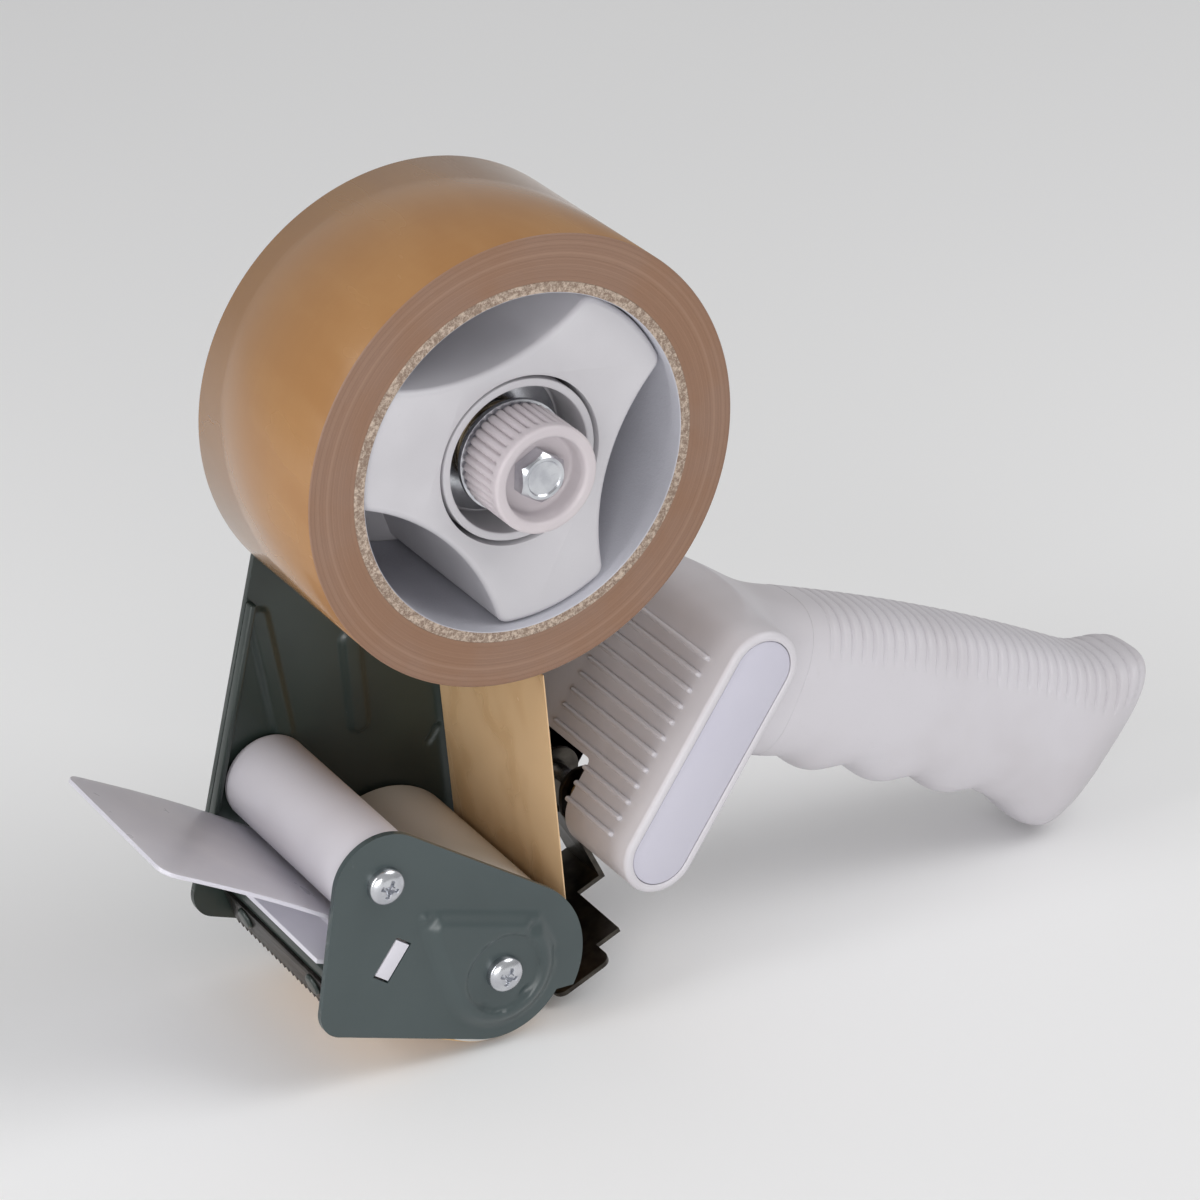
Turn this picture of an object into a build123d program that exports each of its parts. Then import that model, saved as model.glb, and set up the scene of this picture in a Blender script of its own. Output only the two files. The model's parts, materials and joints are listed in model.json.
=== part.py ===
from build123d import *
import math
import os

# A hand tape gun for 50 mm packing tape: a pressed steel frame with an open near
# side, a braked hub for the roll, two rollers, a toothed blade, a plastic wiper,
# a sprung backstop lever and a moulded pistol grip.
# Millimetres. x runs from the blade back to the grip, y from the open side to the
# frame side, z up. Outlines are (x, z) pairs about the hub's axis; the last step
# stands the whole tool on the floor with the origin under its middle.

# Tape roll and core
tape_width = 50.0
core_bore_radius = 38.1
core_wall = 2.5
wound_thickness = 10.4
web_thickness = 0.3
web_leaves_roll_at = -83.5
web_past_teeth = 2.2

# Sheet metal frame
side_clearance = 2.0
plate_thickness = 1.5
hub_boss_radius = 29.5
frame_corner = (-45.8, -116.6)
frame_corner_radius = 6.5
frame_tail_radius = 17.2
frame_lip_depth = 2.5
frame_lip_width = 1.5
frame_lip_bottom = -106.0
frame_lip_top = -46.0
frame_slot = (8.5, -90.5)
frame_slot_size = (4.4, 1.9)
bead_lines = [((-36.0, -50.5), (-29.6, -80.5)), ((-13.0, -61.4), (-10.6, -82.5))]
bead_width = 3.0
bead_height = 0.8
cheek_corner = (-43.4, -118.9)
cheek_corner_radius = 6.3
cheek_head_radius = 12.0
cheek_lobe_radius = 21.0
cheek_lobe_drop = 9.2
emboss_radius = 13.5
emboss_corners = [(-23.0, -99.3), (1.5, -108.8)]
emboss_corner_radius = 2.0
emboss_height = 1.2
emboss_slope = 30.0
ring_radius = 8.8
ring_groove_width = 1.4
ring_groove_depth = 0.5

# Rollers and their axles
big_roller_at = (-5.2, -119.4)
big_roller_radius = 19.3
big_roller_wall = 3.6
roller_end_gap = 1.0
end_plug_depth = 8.0
guide_roller_at = (-34.5, -89.9)
guide_roller_radius = 10.5
axle_radius = 4.0
running_clearance = 0.06
axle_tap_depth = 12.0
axle_screw_radius = 2.0
pan_head_radius = 4.3
pan_head_height = 2.8
pan_head_rim = 0.95
pan_head_edge = 1.9
screw_reach = 11.0

# Blade, its carrier and the plastic wiper
blade_top = (-47.0, -109.9)
blade_lean = 20.0
blade_height = 15.2
blade_start = 5.0
blade_thickness = 0.8
tooth_pitch = 2.0
tooth_height = 2.2
carrier_height = 12.4
carrier_thickness = 1.2
carrier_foot = 7.0
carrier_foot_angle = -20.0
rivet_radius = 1.5
rivet_head_radius = 2.6
rivet_head_height = 0.9
rivet_spacing = 32.0
rivet_down_blade = 8.6
wiper_bar_at = (-32.4, -109.3)
wiper_bar_angle = 55.7
wiper_slot_size = (9.5, 4.2)
wiper_bar_clearance = 0.2
flap_tip = (-84.5, -75.8)
flap_angle = -29.6
flap_side_gap = 3.0
flap_thickness = 1.0
flap_corner_radius = 3.5
flap_hinge_radius = 0.9
flap_hinge_gap = 0.3
lip_tip = (-48.4, -107.3)
lip_root = (-35.5, -111.9)
lip_thickness = 1.0

# Hub, spindle and brake
hub_seat_gap = 0.3
hub_setback = 2.0
hub_lobe_angles = [45.0, 165.0, 285.0]
hub_waist_radius = 23.0
hub_lobe_half_angle = 20.5
hub_corner_radius = 3.0
hub_edge_radius = 1.6
hub_wall = 2.2
hub_face_thickness = 2.6
hub_boss_wall = 3.0
hub_shoulder_radius = 40.4
hub_shoulder_thickness = 1.3
brake_mouth_radius = 19.2
brake_depth = 14.0
cup_radius = 18.3
cup_wall = 1.8
cup_floor = 1.2
cup_setback = 0.4
sleeve_radius = 6.0
sleeve_flange_radius = 10.5
sleeve_flange_thickness = 1.6
bolt_radius = 3.0
bolt_clearance = 0.3
bolt_head_flats = 10.0
bolt_head_height = 4.0
bolt_head_front = 33.0
bolt_head_chamfer = 1.1
bolt_past_nut = 0.5
nut_height = 5.0
thread_clearance = 0.05
knob_front = 34.0
knob_length = 14.0
knob_radius = 12.2
knob_recess_radius = 9.8
knob_recess_depth = 5.0
knob_grooves = 36
knob_groove_radius = 0.55
washer_thickness = 1.2
friction_washer_radius = 15.6
thrust_washer_radius = 12.6
brake_spring_radius = 9.4
brake_spring_wire = 1.5
brake_spring_turns = 3.0
stack_gap = 0.2

# Handle: cross block, ribs, notch and pistol grip
block_low_at = (35.5, -101.4)
block_high_at = (60.1, -61.6)
block_half_thickness = 9.5
block_near_overhang = 0.5
block_edge_radius = 2.6
cap_rim = 2.0
cap_thickness = 3.0
cap_clearance = 0.1
rib_count = 13
rib_pitch = 4.07
rib_first = 0.4
rib_near_end = -22.0
rib_far_end = 14.0
rib_width = 1.2
rib_height = 1.1
rib_root = 1.5
notch_near = -3.0
notch_far = 22.0
notch_rise = 9.0
grip_root = (60.0, -72.0)
grip_angle = -22.35
grip_length = 135.0
grip_root_depth = 4.0
grip_half_width = 16.2
grip_crown = 21.3
grip_crown_at = 72.0
grip_crown_drop = 3.5
grip_crown_reach = 62.0
grip_tail_rise = 4.6
grip_tail_at = 121.0
grip_tail_spread = 7.5
grip_belly = 17.6
finger_pitch = 21.8
finger_first = 41.5
finger_depth = 2.7
finger_humps = 3
finger_fade = 3.0
heel_depth = 5.76
heel_at = 119.0
heel_spread = 11.0
grip_flare = 7.0
grip_flare_reach = 7.0
grip_end_radius = 7.5
grip_end_tilt = 8.0
grip_end_rings = 4
grip_sides = 18
grip_squareness = 2.5
handle_screw_along = [0.42, 0.86]
handle_screw_reach = 16.0

# Backstop lever, its pin and spring
pin_radius = 2.0
pin_clearance = 0.05
pin_near_end = -12.0
pin_tail = 3.0
clip_radius = 4.4
clip_thickness = 0.8
ear_radius = 5.5
ear_near = 5.4
lever_sheet = 1.2
lever_far = 17.5
lever_slope = 24.8
lever_step_at = (27.5, -129.1)
lever_steps = [(14.1, 2.8), (6.5, -15.5), (0.0, -22.0)]
lever_front = -15.0
lever_lip_gap = 0.4
lever_corner_radius = 2.5
lever_tongue_top = (31.4, -106.2)
lever_spring_radius = 3.4
lever_spring_wire = 0.9
lever_spring_turns = 6.0

# Where the tool stands: the hub's axis above the floor and ahead of the middle
web_gap = 0.1
hub_ahead_of_middle = 53.21

# Worked-out places
roll_side = tape_width / 2
roll_radius = core_bore_radius + core_wall + wound_thickness
inner_face = roll_side + side_clearance
flap_width = 2 * (inner_face - flap_side_gap)
outer_face = inner_face + plate_thickness
roller_side = inner_face - roller_end_gap
web_inner_radius = big_roller_radius + web_gap
web_outer_radius = web_inner_radius + web_thickness
hub_height = web_outer_radius - big_roller_at[1]
hub_front = hub_setback - roll_side
hub_floor = hub_front + brake_depth
hub_radius = core_bore_radius - hub_seat_gap
block_near = -outer_face - block_near_overhang
hub_shoulder_near = roll_side + stack_gap
knob_back = knob_length - knob_front


def slab(face, near, far):
    """An (x, z) outline made solid from y = near to y = far."""
    return extrude(Plane.XZ.offset(-far) * face, far - near)


def disc(at, radius, near, far):
    """A round bar along y."""
    return slab(Pos(*at) * Circle(radius), near, far)


def tube(at, outer, inner, near, far):
    """A round tube along y."""
    return slab(Pos(*at) * (Circle(outer) - Circle(inner)), near, far)


def turned(at, profile):
    """A shape turned about the y direction from (radius, y) points."""
    return Pos(at[0], 0, at[1]) * revolve(make_face(Polyline(*profile, close=True)), Axis.Y)


def round_hull(circles):
    """The outline of a belt round several circles, each (x, z, radius)."""
    edges = [(Pos(x, z) * Circle(radius)).edge() for x, z, radius in circles]
    return make_hull(edges)


def heading(degrees):
    """The unit (x, z) direction at an angle above +x."""
    return math.cos(math.radians(degrees)), math.sin(math.radians(degrees))


def along(start, degrees, distance, aside=0.0):
    """A point a distance along a direction and a distance to its left."""
    dx, dz = heading(degrees)
    return start[0] + distance * dx - aside * dz, start[1] + distance * dz + aside * dx


def pressed(outline, height):
    """A pad with sloped sides, for a form pressed in sheet, drawn on y = 0."""
    return extrude(Plane.XZ * outline, height, taper=emboss_slope)


def plate_holes():
    """The holes that both side plates share: roller screws and the wiper's tab."""
    screw = axle_screw_radius + thread_clearance
    holes = Pos(*big_roller_at) * Circle(screw)
    holes += Pos(*guide_roller_at) * Circle(screw)
    holes += Pos(*wiper_bar_at) * Rot(0, 0, wiper_bar_angle) * Rectangle(*wiper_slot_size)
    return holes


def frame_side_plate():
    """The frame side: one sheet from the hub to the blade and the handle."""
    outline = round_hull([
        (0, 0, hub_boss_radius),
        (*frame_corner, frame_corner_radius),
        (*big_roller_at, frame_tail_radius),
        (*block_low_at, block_half_thickness),
        (*block_high_at, block_half_thickness)])
    plate = slab(outline, inner_face, outer_face)
    front = Pos(frame_corner[0], (frame_lip_bottom + frame_lip_top) / 2) * Rectangle(
        4 * hub_boss_radius, frame_lip_top - frame_lip_bottom)
    rim = (outline - offset(outline, -frame_lip_width)) & front
    rim_front = rim.faces().sort_by(Axis.X)[0]
    plate += slab(rim_front, inner_face - frame_lip_depth, inner_face)
    for low, high in bead_lines:
        bead = SlotCenterToCenter(math.dist(low, high), bead_width)
        turn = math.degrees(math.atan2(high[1] - low[1], high[0] - low[0]))
        middle = Pos((low[0] + high[0]) / 2, (low[1] + high[1]) / 2) * Rot(0, 0, turn)
        raised = slab(middle * bead, inner_face - bead_height, inner_face)
        plate += raised
    holes = plate_holes()
    holes += Circle(bolt_radius + bolt_clearance)
    holes += Pos(*block_low_at) * Circle(pin_radius + pin_clearance)
    holes += Pos(*frame_slot) * Rot(0, 0, wiper_bar_angle) * SlotOverall(*frame_slot_size)
    for at in handle_screw_places():
        holes += Pos(*at) * Circle(axle_screw_radius + thread_clearance)
    return plate - slab(holes, inner_face - frame_lip_depth, outer_face)


def cheek_outline():
    """The near cheek: a rounded triangle with a lobe behind the big roller."""
    x, z = big_roller_at
    body = round_hull([
        (*guide_roller_at, cheek_head_radius),
        (*cheek_corner, cheek_corner_radius),
        (x, z, frame_tail_radius)])
    lobe = round_hull([(*guide_roller_at, cheek_head_radius), (x, z, cheek_lobe_radius)])
    keep = Pos(x, z - cheek_lobe_drop + 2 * cheek_lobe_radius) * Rectangle(
        6 * cheek_lobe_radius, 4 * cheek_lobe_radius)
    return body + (lobe & keep)


def near_cheek_plate():
    """The open side's plate, with the pressed boss and ring round its lower screw."""
    plate = slab(cheek_outline(), -outer_face, -inner_face)
    circles = [(*big_roller_at, emboss_radius)]
    circles += [(*corner, emboss_corner_radius) for corner in emboss_corners]
    outline = round_hull(circles)
    plate += Pos(0, -outer_face, 0) * pressed(outline, emboss_height)
    plate -= Pos(0, -inner_face, 0) * pressed(offset(outline, -plate_thickness / 2), emboss_height)
    ring = Circle(ring_radius) - Circle(ring_radius - ring_groove_width)
    top = outer_face + emboss_height
    plate -= slab(Pos(*big_roller_at) * ring, -top, ring_groove_depth - top)
    return plate - slab(plate_holes(), -top, -inner_face)


def application_roller():
    """The big roller that presses the tape down, a plain tube."""
    return tube(big_roller_at, big_roller_radius, big_roller_radius - big_roller_wall,
                -roller_side, roller_side)


def roller_end_plugs():
    """Two moulded plugs that carry the tube on its axle, dished at their outer ends."""
    outer = big_roller_radius - big_roller_wall
    bore = axle_radius + running_clearance
    rim = outer - big_roller_wall / 2
    hub = axle_radius + big_roller_wall
    dish = end_plug_depth / 2
    profile = [(bore, 0), (hub, 0), (hub, dish), (rim, dish), (rim, 0), (outer, 0),
               (outer, end_plug_depth), (bore, end_plug_depth)]
    near = turned(big_roller_at, [(r, y - roller_side) for r, y in profile])
    far = turned(big_roller_at, [(r, roller_side - y) for r, y in profile])
    return near + far


def guide_roller():
    """The small roller, moulded in one piece and bored for its axle."""
    return tube(guide_roller_at, guide_roller_radius, axle_radius + running_clearance,
                -roller_side, roller_side)


def axle(at):
    """A turned axle between the plates, tapped at both ends."""
    bar = disc(at, axle_radius, -inner_face, inner_face)
    tap = axle_screw_radius + thread_clearance
    bar -= disc(at, tap, -inner_face, axle_tap_depth - inner_face)
    return bar - disc(at, tap, inner_face - axle_tap_depth, inner_face)


def pan_screw(at, seat, side, shank):
    """A pan head screw whose head sits on y = seat and faces side, -1 or 1."""
    head = Pos(0, 0, pan_head_height / 2) * Cylinder(pan_head_radius, pan_head_height)
    top = head.edges().sort_by(Axis.Z)[-1]
    head = chamfer(top, pan_head_height - pan_head_rim, pan_head_edge)
    screw = head + Pos(0, 0, -shank / 2) * Cylinder(axle_screw_radius, shank)
    return Plane(origin=(at[0], seat, at[1]), z_dir=(0, side, 0)) * screw


def screw_seat(at, side):
    """Where an axle screw's head seats: on a plate's face, or on the cheek's pressed boss."""
    raised = emboss_height if side < 0 and at == big_roller_at else 0
    return side * (outer_face + raised)


def axle_screws(side):
    """The two screws that clamp one side plate to the axles."""
    return Compound([pan_screw(at, screw_seat(at, side), side, screw_reach)
                     for at in (big_roller_at, guide_roller_at)])


def blade_point(down, ahead=0.0):
    """A point down the blade from its top edge, and ahead of its front face."""
    return along(blade_top, blade_lean - 90, down, -ahead)


def blade_strip(down_from, down_to, ahead_from, ahead_to, side):
    """A strip in the blade's plane from -side to side."""
    corners = [blade_point(down_from, ahead_from), blade_point(down_to, ahead_from),
               blade_point(down_to, ahead_to), blade_point(down_from, ahead_to)]
    return slab(make_face(Polyline(*corners, close=True)), -side, side)


def rivet_places():
    """The y of each blade rivet."""
    return [-rivet_spacing / 2, rivet_spacing / 2]


def blade_frame(y, down):
    """A plane on the blade's back face whose z points ahead, towards the user's tape."""
    x, z = blade_point(down)
    ahead_x, ahead_z = heading(blade_lean + 180)
    return Plane(origin=(x, y, z), x_dir=(0, 1, 0), z_dir=(ahead_x, 0, ahead_z))


def rivet_holes():
    """Cutters for the blade's rivets."""
    length = 4 * carrier_thickness
    return [blade_frame(y, rivet_down_blade) * Cylinder(rivet_radius + thread_clearance, 2 * length)
            for y in rivet_places()]


def blade_carrier():
    """The bent cross strip that joins the plates and backs the blade."""
    front = blade_strip(0, carrier_height, -carrier_thickness, 0, inner_face)
    corner = blade_point(0, -carrier_thickness)
    tip = along(corner, carrier_foot_angle, carrier_foot)
    under = along(corner, carrier_foot_angle, 0, -carrier_thickness)
    tip_under = along(corner, carrier_foot_angle, carrier_foot, -carrier_thickness)
    foot = slab(make_face(Polyline(corner, tip, tip_under, under, close=True)), -inner_face, inner_face)
    carrier = front + foot
    for hole in rivet_holes():
        carrier -= hole
    return carrier


def cutting_blade():
    """The toothed steel strip on the carrier's face."""
    strip = blade_strip(blade_start, blade_height - tooth_height, 0, blade_thickness, roll_side)
    corners = [(0, 0), (tooth_pitch / 2, -tooth_height), (-tooth_pitch / 2, -tooth_height)]
    tooth = make_face(Polyline(*corners, close=True))
    x, z = blade_point(blade_height)
    ahead_x, ahead_z = heading(blade_lean + 180)
    row = Plane(origin=(x, 0, z), x_dir=(0, 1, 0), z_dir=(ahead_x, 0, ahead_z))
    count = round(tape_width / tooth_pitch)
    teeth = [Pos((i - (count - 1) / 2) * tooth_pitch, 0) * tooth for i in range(count)]
    strip += extrude(row * Sketch(children=teeth), blade_thickness)
    for hole in rivet_holes():
        strip -= hole
    return strip


def blade_rivets():
    """Two rivets with a head on the blade and a tail behind the carrier."""
    rivets = []
    for y in rivet_places():
        plane = blade_frame(y, rivet_down_blade)
        grip = carrier_thickness + blade_thickness
        shank = Pos(0, 0, grip / 2 - carrier_thickness) * Cylinder(rivet_radius, grip)
        head = Pos(0, 0, blade_thickness + rivet_head_height / 2) * Cylinder(
            rivet_head_radius, rivet_head_height)
        tail = Pos(0, 0, -carrier_thickness - rivet_head_height / 2) * Cylinder(
            rivet_head_radius, rivet_head_height)
        head = chamfer(head.edges().sort_by(Axis.Z)[-1], rivet_head_height / 2)
        rivets.append(plane * (shank + head + tail))
    return Compound(rivets)


def wiper_bar():
    """The wiper's moulded bar, with a tab through each plate and a short lower lip."""
    clear = wiper_bar_clearance
    length, depth = wiper_slot_size
    section = Rectangle(length - 2 * clear, depth - 2 * clear)
    place = Pos(*wiper_bar_at) * Rot(0, 0, wiper_bar_angle)
    bar = slab(place * section, -outer_face, outer_face)
    slope = math.degrees(math.atan2(lip_tip[1] - lip_root[1], lip_tip[0] - lip_root[0]))
    reach = math.dist(lip_tip, lip_root)
    half = lip_thickness / 2
    corners = [along(lip_root, slope, 0, half), along(lip_root, slope, reach, half),
               along(lip_root, slope, reach, -half), along(lip_root, slope, 0, -half)]
    lip = slab(make_face(Polyline(*corners, close=True)), -flap_width / 2, flap_width / 2)
    return bar + lip


def flap_hinge():
    """Where the flap's line meets its hinge, just ahead of the wiper's bar."""
    off_bar = wiper_slot_size[1] / 2 + flap_hinge_gap + flap_hinge_radius
    out_x, out_z = heading(wiper_bar_angle + 90)
    dx, dz = heading(flap_angle)
    reach = (flap_tip[0] - wiper_bar_at[0]) * out_x + (flap_tip[1] - wiper_bar_at[1]) * out_z
    length = (off_bar - reach) / (dx * out_x + dz * out_z)
    return along(flap_tip, flap_angle, length), length


def wiper_flap():
    """The long flexible leaf that wipes the tape down, with a bead on its hinge line."""
    hinge, length = flap_hinge()
    dx, dz = heading(flap_angle)
    plane = Plane(origin=(flap_tip[0], 0, flap_tip[1]), x_dir=(dx, 0, dz), z_dir=(-dz, 0, dx))
    leaf = Pos(length / 2, 0) * Rectangle(length, flap_width)
    leaf = fillet(leaf.vertices().sort_by(Axis.X)[:2], flap_corner_radius)
    sheet = extrude(plane * leaf, flap_thickness / 2, both=True)
    return sheet + disc(hinge, flap_hinge_radius, -flap_width / 2, flap_width / 2)


def hub_outline(inset=0.0):
    """Three lobes that grip the core, with hollow sides between them."""
    half = math.radians(60 - hub_lobe_half_angle)
    x = hub_radius * math.cos(half)
    z = hub_radius * math.sin(half)
    centre = (x * x + z * z - hub_waist_radius ** 2) / (2 * (x - hub_waist_radius))
    outline = Circle(hub_radius - inset)
    for angle in hub_lobe_angles:
        place = Rot(0, 0, angle + 60) * Pos(centre, 0)
        outline -= place * Circle(centre - hub_waist_radius + inset)
    return fillet(outline.vertices(), hub_corner_radius - inset)


def tape_hub():
    """The moulded hub: a lobed shell, a brake pocket, a bearing boss and a rear shoulder."""
    outline = hub_outline()
    inside = hub_outline(hub_wall)
    rear = hub_shoulder_near + hub_shoulder_thickness
    shell = slab(outline, hub_front, rear)
    shell = fillet(shell.edges().group_by(Axis.Y)[0], hub_edge_radius)
    shell += tube((0, 0), hub_shoulder_radius, hub_waist_radius, hub_shoulder_near, rear)
    hollow = slab(inside, hub_front + hub_face_thickness, rear)
    hollow -= disc((0, 0), brake_mouth_radius + hub_wall, hub_front, hub_floor + hub_wall)
    hollow -= disc((0, 0), sleeve_radius + running_clearance + hub_boss_wall, hub_floor, roll_side)
    hub = shell - hollow
    hub -= disc((0, 0), brake_mouth_radius, hub_front, hub_floor)
    return hub - disc((0, 0), sleeve_radius + running_clearance, hub_front, rear)


def spindle_sleeve():
    """The flanged steel bush on the frame that the hub turns on."""
    bore = bolt_radius + bolt_clearance
    flange = inner_face - sleeve_flange_thickness
    profile = [(bore, hub_floor), (sleeve_radius, hub_floor), (sleeve_radius, flange),
               (sleeve_flange_radius, flange), (sleeve_flange_radius, inner_face), (bore, inner_face)]
    return turned((0, 0), profile)


def brake_cup():
    """The light cup in the hub's mouth that takes the brake's drag."""
    front = hub_front + cup_setback
    wall = cup_radius - cup_wall
    bore = sleeve_radius + bolt_clearance
    floor = hub_floor - cup_floor
    profile = [(bore, hub_floor), (cup_radius, hub_floor), (cup_radius, front), (wall, front),
               (wall, floor), (bore, floor)]
    return turned((0, 0), profile)


def washer_stack():
    """The y at which the brake's stack of washers and spring starts and ends."""
    rear = hub_floor - cup_floor - stack_gap
    spring_rear = rear - washer_thickness
    spring_front = knob_back + washer_thickness + stack_gap
    return rear, spring_rear, spring_front


def friction_washer():
    """The steel washer that the spring presses on the cup's floor."""
    rear, spring_rear, _ = washer_stack()
    return tube((0, 0), friction_washer_radius, bolt_radius + bolt_clearance, spring_rear, rear)


def thrust_washer():
    """The washer between the knob and the brake spring."""
    _, _, spring_front = washer_stack()
    return tube((0, 0), thrust_washer_radius, bolt_radius + bolt_clearance,
                spring_front - washer_thickness, spring_front)


def coil(at, radius, wire, turns, near, far):
    """A coil spring along y whose wire just fits between near and far."""
    rise = far - near - wire
    path = Helix(rise / turns, rise, radius)
    section = Plane(origin=path @ 0, z_dir=path % 0) * RegularPolygon(wire / 2, 6)
    spring = sweep(section, path, is_frenet=True)
    stand = Plane(origin=(at[0], near + wire / 2, at[1]), z_dir=(0, 1, 0), x_dir=(1, 0, 0))
    return stand * spring


def brake_spring():
    """The compression spring that sets the hub's drag."""
    _, rear, front = washer_stack()
    return coil((0, 0), brake_spring_radius, brake_spring_wire, brake_spring_turns, front, rear)


def brake_knob():
    """The knurled knob with a round recess for the bolt's head."""
    outline = Circle(knob_radius)
    outline -= PolarLocations(knob_radius, knob_grooves) * Circle(knob_groove_radius)
    knob = slab(outline, -knob_front, knob_back)
    knob -= disc((0, 0), knob_recess_radius, -knob_front, knob_recess_depth - knob_front)
    return knob - disc((0, 0), bolt_radius + thread_clearance, -knob_front, knob_back)


def hexagon(flats):
    """A hexagon by the distance across its flats."""
    return RegularPolygon(flats / 2, 6, major_radius=False)


def spindle_bolt():
    """The hex head bolt that the knob turns, up to the far end of its nut."""
    under_head = bolt_head_height - bolt_head_front
    head = slab(hexagon(bolt_head_flats), -bolt_head_front, under_head)
    dressing = disc((0, 0), bolt_head_flats / 2 + bolt_head_chamfer, -bolt_head_front, under_head)
    head &= chamfer(dressing.edges().sort_by(Axis.Y)[0], bolt_head_chamfer)
    return head + disc((0, 0), bolt_radius, under_head, outer_face + nut_height + bolt_past_nut)


def spindle_nut():
    """The weld nut on the frame's outer face."""
    nut = hexagon(bolt_head_flats) - Circle(bolt_radius + thread_clearance)
    return slab(nut, outer_face, outer_face + nut_height)


def tape_web():
    """The tape from the roll, behind and under the big roller, to the blade's teeth."""
    cx, cz = big_roller_at
    start = along((0, 0), web_leaves_roll_at, roll_radius + web_gap + web_thickness)
    teeth = blade_point(blade_height + web_past_teeth / 2, blade_thickness / 2)
    mid = web_inner_radius + web_thickness / 2

    def touch(point, side):
        reach = math.dist(point, big_roller_at)
        swing = math.degrees(math.acos(mid / reach))
        return math.degrees(math.atan2(point[1] - cz, point[0] - cx)) + side * swing

    on = touch(start, -1)
    off = touch(teeth, 1)
    arrive = along(big_roller_at, on, mid)
    leave = along(big_roller_at, off, mid)
    slope = math.degrees(math.atan2(teeth[1] - leave[1], teeth[0] - leave[0]))
    end = along(leave, slope, math.dist(teeth, leave) + web_past_teeth)
    sweep_angle = (off - on) % 360 - 360
    path = Line(start, arrive)
    path += CenterArc((cx, cz), mid, on, sweep_angle)
    path += Line(leave, end)
    return slab(trace(path, web_thickness), -roll_side, roll_side)


def tape_core():
    """The paper core."""
    return tube((0, 0), core_bore_radius + core_wall, core_bore_radius, -roll_side, roll_side)


def tape_roll():
    """The wound tape on its core."""
    return tube((0, 0), roll_radius, core_bore_radius + core_wall, -roll_side, roll_side)


def block_direction():
    """The cross block's long axis: its angle and the distance between its end centres."""
    dx = block_high_at[0] - block_low_at[0]
    dz = block_high_at[1] - block_low_at[1]
    return math.degrees(math.atan2(dz, dx)), math.hypot(dx, dz)


def block_outline(inset=0.0):
    """The block's flat oval section."""
    angle, length = block_direction()
    slot = SlotCenterToCenter(length, 2 * (block_half_thickness - inset))
    middle = along(block_low_at, angle, length / 2)
    return Pos(*middle) * Rot(0, 0, angle) * slot


def handle_screw_places():
    """The two screws that hold the block to the frame plate."""
    angle, length = block_direction()
    return [along(block_low_at, angle, share * length) for share in handle_screw_along]


def grip_section(s):
    """One cross-section of the grip: half width, top and bottom at station s."""
    crown = grip_crown - grip_crown_drop * ((s - grip_crown_at) / grip_crown_reach) ** 2
    top = crown + grip_tail_rise * math.exp(-((s - grip_tail_at) / grip_tail_spread) ** 2)
    fingers = math.cos(2 * math.pi * (s - finger_first) / finger_pitch)
    start = finger_first - finger_pitch / 2
    end = start + finger_humps * finger_pitch
    inside = 1 / (1 + math.exp((start - s) / finger_fade))
    inside /= 1 + math.exp((s - end) / finger_fade)
    heel = heel_depth * math.exp(-((s - heel_at) / heel_spread) ** 2)
    bottom = grip_belly + inside * finger_depth / 2 * fingers + heel
    flare = grip_flare * math.exp(-max(0.0, s) / grip_flare_reach)
    past = max(0.0, s - (grip_length - grip_end_radius))
    rounding = grip_end_radius - math.sqrt(max(0.0, grip_end_radius ** 2 - past ** 2))
    return grip_half_width + flare - rounding, top - rounding, bottom + flare - rounding


def grip_ring(s):
    """The closed outline of one station, on a plane that leans more towards the end."""
    width, top, bottom = grip_section(s)
    x, z = along(grip_root, grip_angle, s)
    lean = grip_angle - grip_end_tilt * (s / grip_length) ** 2
    dx, dz = heading(lean)
    plane = Plane(origin=(x, 0, z), x_dir=(0, 1, 0), z_dir=(dx, 0, dz))
    points = []
    for i in range(grip_sides):
        angle = 2 * math.pi * i / grip_sides
        c = math.cos(angle)
        n = math.sin(angle)
        across = width * math.copysign(abs(c) ** (2 / grip_squareness), c)
        height = top if n > 0 else bottom
        points.append((across, height * math.copysign(abs(n) ** (2 / grip_squareness), n)))
    return plane * make_face(Spline(*points, periodic=True))


def grip_stations():
    """Stations along the grip, four to each finger, closer at the rounded end."""
    step = finger_pitch / 4
    last = grip_length - grip_end_radius
    count = int(last / step)
    stations = [-grip_root_depth] + [last * i / count for i in range(count + 1)]
    turns = [math.radians(90 * i / (grip_end_rings + 1)) for i in range(1, grip_end_rings + 1)]
    return stations + [last + grip_end_radius * math.sin(turn) for turn in turns]


def grip():
    """The pistol grip, lofted through its stations."""
    return loft([grip_ring(s) for s in grip_stations()])


def ribs():
    """Thirteen thin ribs across the block's front face."""
    angle, _ = block_direction()
    dx, dz = heading(angle)
    front_x, front_z = heading(angle + 90)
    x, z = along(block_low_at, angle, 0, block_half_thickness - rib_root)
    plane = Plane(origin=(x, (rib_near_end + rib_far_end) / 2, z), x_dir=(dx, 0, dz),
                  z_dir=(front_x, 0, front_z))
    rib = Rot(0, 0, 90) * SlotOverall(rib_far_end - rib_near_end, rib_width)
    row = [Pos(rib_first + i * rib_pitch, 0) * rib for i in range(rib_count)]
    return extrude(plane * Sketch(children=row), rib_root + rib_height)


def notch():
    """The cut in the block's lower front corner that clears the lever and its spring."""
    angle, _ = block_direction()
    reach = 3 * block_half_thickness
    middle = along(block_low_at, angle, notch_rise - reach / 2)
    return slab(Pos(*middle) * Rot(0, 0, angle) * Rectangle(reach, reach), notch_near, notch_far)


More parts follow.
